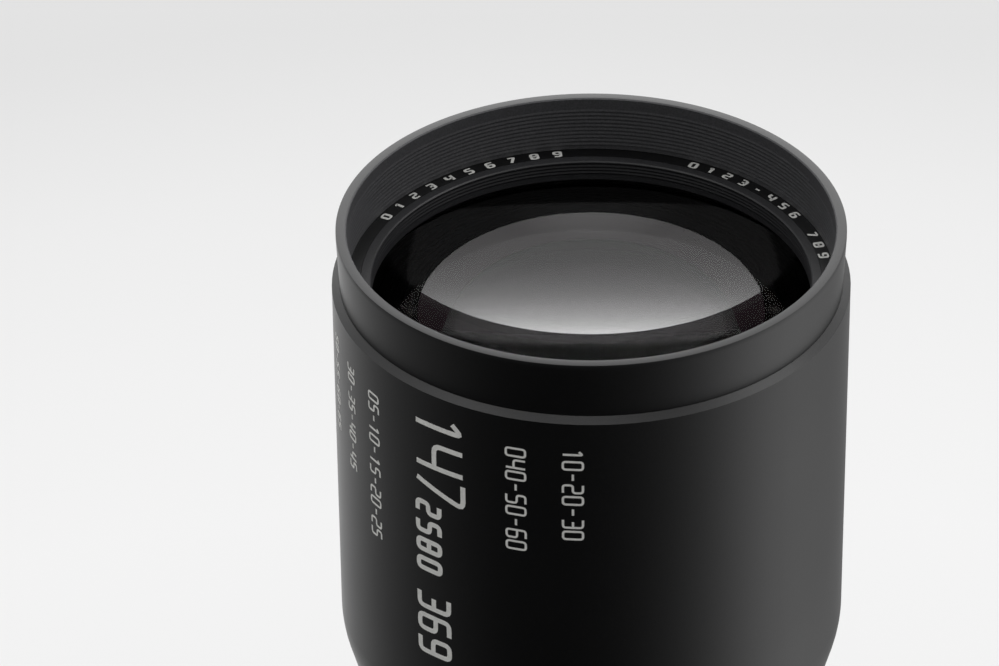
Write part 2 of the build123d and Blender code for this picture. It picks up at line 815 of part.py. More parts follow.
def make_clamp_knob():
    body = Circle(knob_radius)
    body -= [
        Rot(0, 0, a) * Pos(knob_radius + knob_flute_offset, 0) * Circle(knob_flute_radius)
        for a in angles(knob_flutes)
    ]
    body = extrude(body, knob_length)
    body += upright(knob_radius - knob_cap_inset, knob_length + knob_cap_height)
    body -= Pos(0, 0, -over) * upright(clamp_screw_radius + seat, knob_bore_depth + over)
    return Pos(x_knob, 0, z_collar_middle) * Rot(0, 90, 0) * body


# Iris

def turned_pin(swing, ring_turn):
    """The drive pin's place as the actuator ring sees it."""
    x, y = drive_pin(swing)
    angle = atan2(y, x) - ring_turn
    return hypot(x, y) * cos(angle), hypot(x, y) * sin(angle)


def make_iris_housing():
    back = z_iris_back
    plate_top = back + iris_plate_thickness
    inner = blade_open_radius + iris_plate_edge
    body = turned(
        (inner, back), (iris_housing_radius, back), (iris_housing_radius, z_iris_front),
        (iris_bore_radius, z_iris_front), (iris_bore_radius, plate_top), (inner, plate_top),
    )
    body -= [
        axial_rod(blade_pin_radius + running, pivot_circle, a, back - over, plate_top + over)
        for a in angles(blade_count)
    ]
    return body - aperture_slots(iris_bore_radius - over, iris_housing_radius + over)


def make_iris_blade(index):
    """One curved blade, with its pivot pin below and its drive pin above."""
    level = z_iris_back + iris_plate_thickness + blade_pitch * (index + 0.5)
    inner, outer = blade_open_radius, blade_outer_radius
    first, last = radians(blade_start), radians(blade_end)
    middle = (first + last) / 2

    def point(radius, angle):
        return radius * cos(angle), radius * sin(angle)

    band = make_face([
        ThreePointArc(point(inner, first), point(inner, middle), point(inner, last)),
        Line(point(inner, last), point(outer, last)),
        ThreePointArc(point(outer, last), point(outer, middle), point(outer, first)),
        Line(point(outer, first), point(inner, first)),
    ])
    pivot = (pivot_circle, 0)
    drive = drive_pin(0)
    root = (blade_open_radius + blade_width / 2, 0)
    leaf = band + trace(Line(pivot, drive), 2 * blade_lobe_radius)
    leaf += trace(Line(root, pivot), 2 * blade_lobe_radius)
    leaf += [Pos(*pivot) * Circle(blade_lobe_radius), Pos(*drive) * Circle(blade_lobe_radius)]
    blade = Pos(0, 0, level) * extrude(leaf, blade_thickness)
    pin_bottom = z_iris_back + blade_pin_recess
    pin_top = z_actuator_front - blade_pin_recess
    blade += Pos(*pivot, pin_bottom) * upright(blade_pin_radius, level - pin_bottom)
    blade += Pos(*drive, level) * upright(blade_pin_radius, pin_top - level)
    return Rot(0, 0, 360.0 * index / blade_count) * blade


def make_actuator_ring():
    inner = blade_open_radius + iris_plate_edge
    body = tube(inner, actuator_radius, z_actuator_back, z_actuator_front)
    steps = [i / blade_slot_points for i in range(blade_slot_points + 1)]
    path = [turned_pin(blade_swing * t, radians(aperture_turn) * t) for t in steps]
    radius = blade_pin_radius + running + blade_slot_clearance
    slot = trace(Spline(*path), 2 * radius) + [Pos(*path[i]) * Circle(radius) for i in (0, -1)]
    slot = Pos(0, 0, z_actuator_back - over) * extrude(slot, actuator_thickness + 2 * over)
    body -= [Rot(0, 0, a) * slot for a in angles(blade_count)]
    notch = Pos(actuator_radius, 0, z_drive_screw) * Box(
        2 * actuator_notch_depth, 2 * (drive_screw_radius + running), actuator_thickness + 2 * over
    )
    return body - Rot(0, 0, drive_screw_angle) * notch


def make_iris_lock_ring():
    return tube(
        iris_bore_radius - iris_lock_width, iris_bore_radius - seat,
        z_iris_lock_back, z_iris_lock_back + iris_lock_thickness,
    )


# Aperture ring and index ring

drive_screw_seat = aperture_ring_radius - 2 * drive_screw_head_height


def make_aperture_ring():
    body = edged_tube(
        aperture_bore_radius, aperture_ring_radius, z_aperture_back, z_aperture_front, ring_edge
    )
    band = z_aperture_front - aperture_flute_setback - aperture_flute_band
    flute = Pos(aperture_ring_radius + aperture_flute_offset, 0, band) * upright(
        aperture_flute_radius, aperture_flute_band
    )
    body -= [Rot(0, 0, a) * flute for a in angles(aperture_flutes, 180.0 / aperture_flutes)]
    body -= radial_rod(
        drive_screw_radius + seat, aperture_bore_radius - over, aperture_ring_radius,
        drive_screw_angle, z_drive_screw,
    )
    return body - radial_rod(
        drive_screw_head_radius + seat, drive_screw_seat, aperture_ring_radius + over,
        drive_screw_angle, z_drive_screw,
    )


def make_drive_screw():
    head = drive_screw_seat + face_gap
    tip = actuator_radius - actuator_notch_depth + drive_screw_tip_gap
    top = head + drive_screw_head_height
    screw = radial_rod(drive_screw_radius, tip, head + weld, drive_screw_angle, z_drive_screw)
    screw += radial_rod(drive_screw_head_radius, head, top, drive_screw_angle, z_drive_screw)
    slot = Box(2 * drive_screw_slot_depth, drive_screw_slot_width, 3 * drive_screw_head_radius)
    return screw - Rot(0, 0, drive_screw_angle) * Pos(top, 0, z_drive_screw) * slot


def make_index_ring():
    body = edged_tube(ring_seat_radius + seat, aperture_ring_radius, z_index_back, z_index_front, ring_edge)
    bottom = z_index_front - stop_screw_grip - face_gap
    return body - axial_rod(stop_screw_radius + seat, stop_circle, stop_angle, bottom, z_index_front + over)


def make_focus_stop_screw():
    return axial_rod(
        stop_screw_radius, stop_circle, stop_angle, z_index_front - stop_screw_grip,
        z_focus_back + stop_screw_reach,
    )


# Focus ring, grip, cam sleeve, guide tube and focusing cell

z_pins = z_focus_front - focus_pin_setback
z_cam_front = z_focus_front - focus_bearing_width - face_gap
z_cam_back = z_cam_front - cam_length
z_ring_screws = z_cam_front - ring_screw_setback
z_grip_back = z_focus_back + focus_scale_width
z_grip_front = z_focus_front - focus_front_lip


def make_focus_ring():
    body = turned(
        (focus_bore_radius, z_focus_back), (focus_lip_radius - ring_edge, z_focus_back),
        (focus_lip_radius, z_focus_back + ring_edge), (focus_lip_radius, z_grip_back - ring_edge),
        (focus_lip_radius - ring_edge, z_grip_back), (focus_seat_radius, z_grip_back),
        (focus_seat_radius, z_grip_front), (focus_lip_radius - ring_edge, z_grip_front),
        (focus_lip_radius, z_grip_front + ring_edge), (focus_lip_radius, z_focus_front - ring_edge),
        (focus_lip_radius - ring_edge, z_focus_front), (guide_radius + running, z_focus_front),
        (guide_radius + running, z_focus_front - focus_bearing_width),
        (focus_bore_radius, z_focus_front - focus_bearing_width),
    )
    body -= arc_groove(
        stop_circle, 2 * (stop_screw_radius + running), z_focus_back - over,
        z_focus_back + stop_screw_reach + stop_screw_end_gap, stop_angle - focus_turn, focus_turn,
    )
    for a in angles(guide_pin_count, ring_screw_first_angle):
        body -= radial_rod(
            ring_screw_radius + seat, focus_bore_radius - over, focus_seat_radius, a, z_ring_screws
        )
        body -= radial_rod(
            ring_screw_head_radius + seat, focus_seat_radius - ring_screw_head_height - 2 * face_gap,
            focus_seat_radius + over, a, z_ring_screws,
        )
    return body


def make_ring_screws():
    screws = []
    head = focus_seat_radius - ring_screw_head_height - face_gap
    top = focus_seat_radius - 3 * face_gap
    tip = cam_bore_radius + ring_screw_tip_gap
    for a in angles(guide_pin_count, ring_screw_first_angle):
        screw = radial_rod(ring_screw_radius, tip, head + weld, a, z_ring_screws)
        screw += radial_rod(ring_screw_head_radius, head, top, a, z_ring_screws)
        screws.append(screw)
    return together(screws)


def make_focus_grip():
    """Rubber sleeve: blocks in rows, parted by lengthwise and round grooves."""
    inner = focus_seat_radius + seat
    bottom = z_grip_back + face_gap
    length = z_grip_front - z_grip_back - 2 * face_gap
    groove = Pos(grip_radius, 0) * Rectangle(2 * grip_groove_depth, grip_groove_width)
    outline = Circle(grip_radius) - [Rot(0, 0, a) * groove for a in angles(grip_ribs)] - Circle(inner)
    body = Pos(0, 0, bottom) * extrude(outline, length)
    row = (length + grip_row_gap) / grip_rows
    for i in range(1, grip_rows):
        low = bottom + i * row - grip_row_gap
        body -= tube(grip_radius - grip_groove_depth, grip_radius + over, low, low + grip_row_gap)
    return body


def cam_slot():
    """Helical slot for one guide pin: it starts at the near end and climbs to infinity."""
    half = guide_pin_radius + cam_slot_clearance
    middle = (cam_bore_radius + cam_radius) / 2
    pitch = focus_travel * 360.0 / focus_turn
    helix = Helix(pitch=pitch, height=focus_travel, radius=middle)
    section = Plane(origin=helix @ 0, x_dir=(1, 0, 0), z_dir=helix % 0) * Rectangle(3 * cam_wall, 2 * half)
    slot = sweep(section, path=helix, is_frenet=True)
    ends = [
        radial_rod(half + cam_end_relief, middle - 1.5 * cam_wall, middle + 1.5 * cam_wall, a, z)
        for a, z in ((0, 0), (focus_turn, focus_travel))
    ]
    return [slot] + ends


def make_cam_sleeve():
    body = tube(cam_bore_radius, cam_radius, z_cam_back, z_cam_front)
    for a in angles(guide_pin_count, guide_pin_first_angle - focus_turn):
        place = Pos(0, 0, z_pins - focus_travel) * Rot(0, 0, a)
        for piece in cam_slot():
            body -= place * piece
    return body - [
        radial_rod(ring_screw_radius + seat, cam_bore_radius - over, cam_radius + over, a, z_ring_screws)
        for a in angles(guide_pin_count, ring_screw_first_angle)
    ]


def make_guide_tube():
    front = z_guide_flange_front + guide_spigot_length
    body = turned(
        (guide_bore_radius, z_guide_back), (guide_radius, z_guide_back), (guide_radius, z_front_barrel),
        (guide_flange_radius, z_front_barrel), (guide_flange_radius, z_guide_flange_front),
        (guide_radius, z_guide_flange_front), (guide_radius, front), (guide_bore_radius, front),
    )
    half = guide_pin_radius + guide_slot_clearance
    for a in angles(guide_pin_count, guide_pin_first_angle):
        middle = Rot(0, 0, a) * Pos(guide_radius, 0, z_pins - focus_travel / 2) * Box(
            3 * guide_wall, 2 * half, focus_travel
        )
        ends = [
            radial_rod(half, guide_radius - 1.5 * guide_wall, guide_radius + 1.5 * guide_wall, a, z)
            for z in (z_pins, z_pins - focus_travel)
        ]
        body -= [middle] + ends
    return body - [
        axial_rod(
            front_screw_radius + seat, front_screw_circle, a, z_front_barrel - over,
            z_guide_flange_front + over,
        )
        for a in angles(front_barrel_screws)
    ]


z_cell_back = z_pins - focus_cell_length / 2
z_cell_front = z_pins + focus_cell_length / 2
focus_cell_radius = guide_bore_radius - running
focus_lens_bore = focus_lens_radius + seat
z_focus_lip = z_cell_back + focus_lens_lip_length
focus_back_vertex = z_focus_lip + face_gap + sag(focus_back_curve, focus_lens_radius)
focus_cement_vertex = focus_back_vertex + focus_back_thickness
focus_front_vertex = focus_cement_vertex + focus_front_thickness


def make_focus_cell():
    outer = focus_cell_radius
    relief = outer - focus_cell_relief
    land = focus_cell_land
    half_band = guide_pin_radius + guide_pin_margin
    body = turned(
        (focus_lens_radius - focus_lens_lip, z_cell_back), (outer, z_cell_back),
        (outer, z_cell_back + land), (relief, z_cell_back + land), (relief, z_pins - half_band),
        (outer, z_pins - half_band), (outer, z_pins + half_band), (relief, z_pins + half_band),
        (relief, z_cell_front - land), (outer, z_cell_front - land), (outer, z_cell_front),
        (focus_lens_bore, z_cell_front), (focus_lens_bore, z_focus_lip),
        (focus_lens_radius - focus_lens_lip, z_focus_lip),
    )
    inner = outer - guide_stud_length - face_gap
    return body - [
        radial_rod(guide_stud_radius + seat, inner, outer + over, a, z_pins)
        for a in angles(guide_pin_count, guide_pin_first_angle)
    ]


def make_guide_pins():
    outer = focus_cell_radius
    pins = []
    for a in angles(guide_pin_count, guide_pin_first_angle):
        pin = radial_rod(guide_stud_radius, outer - guide_stud_length, outer + 2 * weld, a, z_pins)
        pin += radial_rod(guide_pin_radius, outer + weld, cam_radius - guide_pin_inset, a, z_pins)
        pins.append(pin)
    return together(pins)


def make_focus_back_element():
    return lens(
        focus_lens_radius, focus_cement_vertex, -focus_cement_curve, focus_back_vertex, -focus_back_curve
    )


def make_focus_front_element():
    return lens(
        focus_lens_radius, focus_front_vertex, -focus_front_curve, focus_cement_vertex + cement,
        focus_cement_curve,
    )


def make_focus_lock_ring():
    back = focus_front_vertex + sag(focus_front_curve, focus_lens_radius) + face_gap
    top = back + focus_lock_thickness
    ring = tube(focus_lens_radius - focus_lens_lip, focus_lens_radius, back, top)
    return ring - spanner_slots(focus_lens_radius, top)


# Front barrel, its screws and its baffle

z_cell_seat = z_bell_front - front_ring_spigot - face_gap - front_cell_flange_thickness - face_gap


def make_front_barrel():
    cone_top = bell_radius - shoulder_radius * (1 - cos(cone_turn))
    half_turn = cone_turn / 2
    arc_middle = (
        bell_radius - shoulder_radius * (1 - cos(half_turn)),
        z_shoulder_front - shoulder_radius * sin(half_turn),
    )
    spigot_bore = spigot_outer_radius + seat
    tail_bore = guide_flange_radius + seat
    outline = [
        Polyline(
            (tail_bore, z_front_barrel), (front_tail_radius - ring_edge, z_front_barrel),
            (front_tail_radius, z_front_barrel + ring_edge), (cone_top, z_cone_front),
        ),
        ThreePointArc((cone_top, z_cone_front), arc_middle, (bell_radius, z_shoulder_front)),
        Polyline(
            (bell_radius, z_shoulder_front), (bell_radius, z_bell_front - bell_step),
            (front_ring_foot_radius + seat, z_bell_front), (spigot_bore - mouth_edge, z_bell_front),
            (spigot_bore - mouth_edge, z_bell_front - mouth_edge),
            (spigot_bore, z_bell_front - 2 * mouth_edge),
            (spigot_bore, z_cell_seat), (bell_bore_radius, z_cell_seat),
            (bell_bore_radius, z_shoulder_front), (bell_bore_radius - baffle_wall, z_shoulder_front),
            (cone_top - barrel_wall, z_cone_front - cone_wall_drop),
            (guide_flange_radius, z_front_flange_front),
            (guide_radius + seat, z_front_flange_front), (guide_radius + seat, z_guide_flange_front),
            (tail_bore, z_guide_flange_front), (tail_bore, z_front_barrel),
        ),
    ]
    body = revolve(Plane.XZ * make_face(outline), Axis.Z)
    return body - [
        axial_rod(
            front_screw_radius + seat, front_screw_circle, a, z_guide_flange_front - over,
            z_front_flange_front + over,
        )
        for a in angles(front_barrel_screws)
    ]


def make_front_barrel_screws():
    screws = []
    head = z_front_flange_front + face_gap
    top = head + front_screw_head_height
    for a in angles(front_barrel_screws):
        screw = axial_rod(
            front_screw_radius, front_screw_circle, a, z_front_barrel + front_screw_tip_gap, head + weld
        )
        screw += axial_rod(front_screw_head_radius, front_screw_circle, a, head, top)
        key = Rot(0, 0, a) * Pos(front_screw_circle, 0, top - front_screw_key_depth) * extrude(
            RegularPolygon(front_screw_key_radius, 6), front_screw_key_depth + over
        )
        screws.append(screw - key)
    return together(screws)


def make_light_baffle():
    """Ring with a thin inner edge that stops stray light in the bell."""
    outer = bell_bore_radius - seat
    bottom = z_shoulder_front + face_gap
    top = bottom + baffle_thickness
    wall_top = top + baffle_wall_height
    return turned(
        (outer, bottom), (outer, wall_top), (outer - baffle_wall, wall_top), (outer - baffle_wall, top),
        (baffle_opening_radius, bottom + baffle_edge), (baffle_opening_radius, bottom),
    )


# Front ring, name ring and the rings and lenses of the front cell

z_name_face = z_rim - name_ring_depth
z_lock_flange = z_name_face - name_ring_thickness - face_gap
z_front_lens_edge = z_lock_flange - lock_ring_thickness - face_gap - (
    sag(front_lens_curve, front_lens_radius) - sag(front_lens_curve, lock_ring_inner_radius)
)
front_lens_vertex = z_front_lens_edge + sag(front_lens_curve, front_lens_radius)
front_lens_back_edge = z_front_lens_edge - front_lens_edge
front_lens_back_vertex = front_lens_back_edge - sag(front_lens_back_curve, front_lens_radius)
second_lens_vertex = front_lens_back_vertex - second_lens_gap
second_lens_back = second_lens_vertex - second_lens_thickness
third_lens_back = second_lens_back - cement - third_lens_thickness
z_front_spacer_back = front_lens_back_edge - face_gap - front_spacer_thickness
z_second_lip = second_lens_vertex - sag(second_lens_curve, second_contact_radius) + face_gap
z_front_lock_front = third_lens_back - sag(third_lens_back_curve, second_lens_radius) - face_gap
z_front_lock_back = z_front_lock_front - front_group_lock_thickness
z_front_cell_back = z_front_lock_back - front_cell_tail


def make_front_ring():
    neck = spigot_outer_radius - mouth_edge
    foot = z_bell_front + face_gap
    spigot_end = z_bell_front - front_ring_spigot
    thread_end = z_name_face + thread_undercut
    return turned(
        (lead_in_radius + rim_bore_edge, z_rim), (front_ring_radius - rim_edge, z_rim),
        (front_ring_radius, z_rim - rim_edge), (front_ring_radius, z_rim - front_ring_band),
        (front_ring_foot_radius, foot), (neck, foot), (neck, z_bell_front - 2 * mouth_edge),
        (spigot_outer_radius, z_bell_front - 3 * mouth_edge), (spigot_outer_radius, spigot_end),
        (spigot_inner_radius, spigot_end), (spigot_inner_radius, thread_end),
        (thread_minor_radius, thread_end), (thread_minor_radius, z_rim - lead_in_depth),
        (lead_in_radius, z_rim - lead_in_depth), (lead_in_radius, z_rim - rim_bore_edge),
    )


def make_name_ring():
    return tube(name_ring_inner_radius, lock_ring_radius, z_name_face - name_ring_thickness, z_name_face)


def make_front_lock_ring():
    """Ring that holds the first element, with fine ridges in its bore."""
    low = z_lock_flange - lock_ring_thickness
    bore = lock_ring_inner_radius
    ring = turned(
        (bore, low), (lock_ring_radius, low), (lock_ring_radius, z_lock_flange),
        (name_ring_inner_radius - seat, z_lock_flange), (name_ring_inner_radius - seat, z_name_face),
        (bore, z_name_face),
    )
    half = lock_ring_ridge_pitch / 3
    for i in range(lock_ring_ridges):
        z = z_name_face - lock_ring_ridge_pitch * (i + 0.8)
        ring -= turned(
            (bore - over, z - half), (bore, z - half), (bore + lock_ring_ridge_depth, z),
            (bore, z + half), (bore - over, z + half),
        )
    return ring


def make_front_cell():
    flange_top = z_bell_front - front_ring_spigot - face_gap
    bore = front_lens_radius + seat
    land = z_front_spacer_back - front_cell_land
    rear_bore = second_lens_radius + seat
    return turned(
        (lock_ring_radius + seat, z_name_face), (front_cell_radius, z_name_face),
        (front_cell_radius, flange_top), (spigot_outer_radius, flange_top),
        (spigot_outer_radius, flange_top - front_cell_flange_thickness),
        (front_cell_radius, flange_top - front_cell_flange_thickness), (front_cell_radius, land),
        (front_cell_rear_radius, land - front_cell_rear_length),
        (front_cell_rear_radius, z_front_cell_back), (rear_bore, z_front_cell_back),
        (rear_bore, z_second_lip), (second_contact_radius, z_second_lip),
        (second_contact_radius, z_front_spacer_back - face_gap), (bore, z_front_spacer_back - face_gap),
        (bore, z_front_lens_edge + face_gap), (lock_ring_radius + seat, z_front_lens_edge + face_gap),
    )


def make_front_element():
    return lens(
        front_lens_radius, front_lens_vertex, front_lens_curve, front_lens_back_vertex,
        front_lens_back_curve,
    )


def make_front_spacer():
    """Blackened ring between the first two elements, with a smaller hole than either."""
    top = front_lens_back_edge - face_gap
    return turned(
        (front_lens_radius - front_spacer_width, top), (front_lens_radius, top),
        (front_lens_radius, z_front_spacer_back),
        (front_spacer_opening + front_spacer_back_step, z_front_spacer_back),
        (front_spacer_opening, z_front_spacer_back + front_spacer_slope),
        (front_spacer_opening, top - front_spacer_slope),
    )


def make_second_element():
    return lens(
        second_lens_radius, second_lens_vertex, second_lens_curve, second_lens_back, second_lens_back_curve
    )


def make_third_element():
    return lens(
        second_lens_radius, second_lens_back - cement, -second_lens_back_curve, third_lens_back,
        -third_lens_back_curve,
    )


def make_front_group_lock():
    ring = tube(
        second_lens_radius - 2 * lens_lip, second_lens_radius, z_front_lock_back, z_front_lock_front
    )
    return ring - spanner_slots(second_lens_radius, z_front_lock_back)


nodes = {
    "bayonet_mount": make_bayonet_mount,
    "mount_screws": make_mount_screws,
    "mount_shim": make_mount_shim,
    "rear_light_mask": make_light_mask,
    "rear_barrel": make_rear_barrel,
    "rear_lens_cell": make_rear_cell,
    "rear_back_element": make_rear_back_element,
    "rear_middle_element": make_rear_middle_element,
    "rear_lens_spacer": make_rear_spacer,
    "rear_front_element": make_rear_front_element,
    "rear_lock_ring": make_rear_lock_ring,
    "main_barrel": make_main_barrel,
    "collar_lock_ring": make_collar_lock_ring,
    "collar_grub_screws": make_collar_grub_screws,
    "tripod_collar": make_tripod_collar,
    "tripod_foot": make_tripod_foot,
    "foot_screws": make_foot_screws,
    "clamp_pad": make_clamp_pad,
    "clamp_screw": make_clamp_screw,
    "clamp_knob": make_clamp_knob,
    "iris_housing": make_iris_housing,
    "iris_actuator_ring": make_actuator_ring,
    "iris_lock_ring": make_iris_lock_ring,
    "aperture_ring": make_aperture_ring,
    "aperture_drive_screw": make_drive_screw,
    "index_ring": make_index_ring,
    "focus_stop_screw": make_focus_stop_screw,
    "focus_ring": make_focus_ring,
    "focus_ring_screws": make_ring_screws,
    "focus_grip": make_focus_grip,
    "cam_sleeve": make_cam_sleeve,
    "guide_tube": make_guide_tube,
    "focus_cell": make_focus_cell,
    "guide_pins": make_guide_pins,
    "focus_back_element": make_focus_back_element,
    "focus_front_element": make_focus_front_element,
    "focus_lock_ring": make_focus_lock_ring,
    "front_barrel": make_front_barrel,
    "front_barrel_screws": make_front_barrel_screws,
    "light_baffle": make_light_baffle,
    "front_ring": make_front_ring,
    "name_ring": make_name_ring,
    "front_lock_ring": make_front_lock_ring,
    "front_cell": make_front_cell,
    "front_element": make_front_element,
    "front_spacer": make_front_spacer,
    "second_element": make_second_element,
    "third_element": make_third_element,
    "front_group_lock": make_front_group_lock,
}

os.makedirs("parts", exist_ok=True)
for name, make in nodes.items():
    export_step(make(), f"parts/{name}.step")
for number in range(blade_count):
    export_step(make_iris_blade(number), f"parts/iris_blade_{number + 1:02d}.step")

print(f"length {z_rim:.2f} from the flange, front ring radius {front_ring_radius:.2f}")
print(f"aperture ring {aperture_turn} deg swings each blade {degrees(blade_swing):.4f} deg, "
      f"ratio {degrees(blade_swing) / aperture_turn:.6f}")
print(f"focus slide per radian {focus_travel / radians(focus_turn):.6f} mm")
print(f"guide pins at z {z_pins:.2f}, collar middle z {z_collar_middle:.2f}, foot face y {y_foot:.2f}")
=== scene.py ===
"""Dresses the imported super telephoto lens: finishes, glass, filter thread, printed scales, studio, camera.

Metres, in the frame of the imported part: +Z is the optical axis, towards the front, and -Y is the side
that the camera sees.
"""

import math

import bmesh
import bpy
from bpy.props import FloatProperty, FloatVectorProperty, IntProperty, PointerProperty, StringProperty
from mathutils import Matrix, Vector


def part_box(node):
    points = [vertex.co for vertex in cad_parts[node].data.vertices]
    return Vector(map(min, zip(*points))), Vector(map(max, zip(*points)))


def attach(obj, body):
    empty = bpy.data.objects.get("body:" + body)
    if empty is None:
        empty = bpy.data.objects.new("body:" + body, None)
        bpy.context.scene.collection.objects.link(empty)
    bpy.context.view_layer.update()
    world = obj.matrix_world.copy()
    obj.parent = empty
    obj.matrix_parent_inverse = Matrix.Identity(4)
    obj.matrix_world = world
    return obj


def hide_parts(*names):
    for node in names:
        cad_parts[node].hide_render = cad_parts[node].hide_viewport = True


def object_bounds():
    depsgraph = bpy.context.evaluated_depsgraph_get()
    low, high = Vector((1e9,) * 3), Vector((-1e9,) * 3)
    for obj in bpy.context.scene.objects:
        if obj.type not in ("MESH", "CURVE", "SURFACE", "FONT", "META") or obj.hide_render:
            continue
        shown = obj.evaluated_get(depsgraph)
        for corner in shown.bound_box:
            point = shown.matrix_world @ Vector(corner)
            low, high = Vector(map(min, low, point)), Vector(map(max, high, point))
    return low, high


bl_info = {
    "name": "Telephoto Lens Dressing",
    "version": (1, 0, 0),
    "blender": (4, 5, 0),
    "location": "View3D > Sidebar > Lens",
    "description": "Builds the finishes, glass, threads and printed scales of a long telephoto lens",
    "category": "Object",
}

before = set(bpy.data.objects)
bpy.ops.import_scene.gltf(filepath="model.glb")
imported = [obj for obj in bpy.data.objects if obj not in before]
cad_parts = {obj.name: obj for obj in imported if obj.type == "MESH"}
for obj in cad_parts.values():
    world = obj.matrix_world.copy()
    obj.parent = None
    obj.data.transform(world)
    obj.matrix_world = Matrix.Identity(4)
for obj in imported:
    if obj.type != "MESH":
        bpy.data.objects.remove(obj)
cad_box = [list(corner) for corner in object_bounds()]

MM = 0.001
RIM_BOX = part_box("front_ring")
NAME_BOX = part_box("name_ring")
BELL_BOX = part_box("front_barrel")
LOCK_RING_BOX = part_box("front_lock_ring")
GLASS_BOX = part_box("front_element")
SECOND_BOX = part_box("second_element")
SPACER_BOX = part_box("front_spacer")
GRIP_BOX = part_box("focus_grip")
FOCUS_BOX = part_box("focus_ring")
APERTURE_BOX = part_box("aperture_ring")
INDEX_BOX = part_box("index_ring")
COLLAR_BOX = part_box("tripod_collar")
LOCK_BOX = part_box("collar_lock_ring")
MOUNT_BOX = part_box("bayonet_mount")
# The mount's flange lies in the plane z = 0.
FLANGE_FOOT = 0.0
# Gap between two fitted rings, so that their faces don't coincide.
SEAM = 0.05 * MM
# Hole of the printed ring, which the ridged ring fits into.
NAME_HOLE = NAME_BOX[1].x - 1.35 * MM
# How far printed strokes reach below the surface, on the broad bell and on the narrow rings.
BELL_PRINT_ROOT = -0.2 * MM
RING_PRINT_ROOT = -0.15 * MM


def linear(hex_colour):
    """Linear RGB of an sRGB hex colour."""
    channels = [int(hex_colour[i:i + 2], 16) / 255 for i in (1, 3, 5)]
    return [c / 12.92 if c <= 0.04045 else ((c + 0.055) / 1.055) ** 2.4 for c in channels]


def colour_property(name, hex_colour, description):
    return FloatVectorProperty(
        name=name, description=description, default=linear(hex_colour), subtype="COLOR", size=3, min=0, max=1
    )


def number_property(name, value, description, **kind):
    return FloatProperty(name=name, description=description, default=value, min=0, **kind)


def length_property(name, millimetres, description):
    return number_property(name, millimetres * MM, description, subtype="DISTANCE", unit="LENGTH")


class LensFinishes(bpy.types.PropertyGroup):
    """Colours of the lens's finishes."""
    anodised: colour_property("Anodised barrel", "#0e0e0f", "Black anodised aluminium of the barrel")
    bore: colour_property("Bore anodise", "#404042", "Dull anodised aluminium of the threaded bore")
    lock_ring: colour_property("Lock ring", "#202022", "Dull anodised aluminium of the ridged ring")
    spacer: colour_property("Spacer lacquer", "#33242c", "Dark violet lacquer behind the first element")
    paint: colour_property("Inside paint", "#0c0c0d", "Matt black paint inside the lens")
    name_ring: colour_property("Name ring", "#060607", "Smooth black of the printed ring")
    rubber: colour_property("Grip rubber", "#131313", "Moulded rubber of the focus grip")
    marks: colour_property("Printed marks", "#f0f0ec", "Filled white of the numbers and ticks")
    dot: colour_property("Mount dot", "#a8241b", "Alignment dot beside the mount")
    chrome: colour_property("Bayonet chrome", "#d6d5d2", "Chromed brass of the bayonet")
    brass: colour_property("Brass", "#c6a356", "Turned brass of cam, shim and pad")
    steel: colour_property("Screw steel", "#c4c4c2", "Plain steel of the bright screws")
    black_steel: colour_property("Black steel", "#3b3b3e", "Black oxide on the outer screws")
    blued_steel: colour_property("Blued steel", "#242427", "Blued sheet of the iris blades")
    coating: colour_property("Lens coating", "#b9a2b4", "Tint of the reflections on the inner lenses")


class FrontGlass(bpy.types.PropertyGroup):
    """Optical faces of the front group."""
    front_curve: length_property("Front face radius", 160, "Radius of curvature of the first face")
    back_curve: length_property("Back face radius", 160, "Radius of the first element's back face")
    thickness: length_property("Thickness", 16, "Thickness of the first element on the axis")
    clear_radius: length_property("Clear radius", 28.4, "Radius of the back face inside its black border")
    waist_radius: length_property("Spacer waist", 22.5, "Radius of the hole in the spacer, at its foot")
    second_curve: length_property("Second lens radius", 165, "Radius of the second element's hollow face")
    second_depth: length_property("Second lens depth", 4.2, "How far its vertex lies below the CAD face")
    cement_curve: length_property("Cemented face radius", 120, "Radius between second and third elements")


class FilterThread(bpy.types.PropertyGroup):
    """Front ring and its female filter thread."""
    pitch: length_property("Pitch", 0.75, "Distance from one thread to the next")
    depth: length_property("Depth", 0.08, "Height of the thread's worn ridge above its root")
    crest_radius: length_property("Crest radius", 41.12, "Radius over the thread's crests")
    start: length_property("Thread start", 314.7, "Height above the flange at which the thread starts")
    length: length_property("Thread length", 8.2, "Length of the threaded part of the bore")


class BoreRidges(bpy.types.PropertyGroup):
    """Fine ridges in the bore of the ring that holds the first element."""
    bore: length_property("Bore", 37.3, "Radius of the ring's bore")
    pitch: length_property("Ridge pitch", 0.65, "Distance from one ridge to the next")
    depth: length_property("Ridge depth", 0.12, "Depth of the grooves between the ridges")


class PrintedScales(bpy.types.PropertyGroup):
    """Numbers and ticks, all of them generic scales."""
    relief: length_property("Paint height", 0.012, "How far the paint stands above the metal")
    stroke: length_property("Small stroke", 0.4, "Stroke width of the small numbers")
    wide_stroke: length_property("Large stroke", 0.95, "Stroke width of the large numbers")
    small_height: length_property("Small height", 3.7, "Height of the small numbers on the bell")
    large_height: length_property("Large height", 10.4, "Height of the large numbers on the bell")
    ring_radius: length_property("Printed ring radius", 41.15, "Outer radius of the ring with the numbers")
    bell_start: length_property("First number", 309.1, "Height above the flange where the bell's lines start")
    aperture_numbers: StringProperty(
        name="Aperture numbers", description="Numbers on the aperture ring, from open to closed",
        default="8 11 16 22 32",
    )
    focus_numbers: StringProperty(
        name="Focus numbers", description="Distances on the focus ring, in metres; a * is infinity",
        default="* 90 60 40 30 25 20",
    )


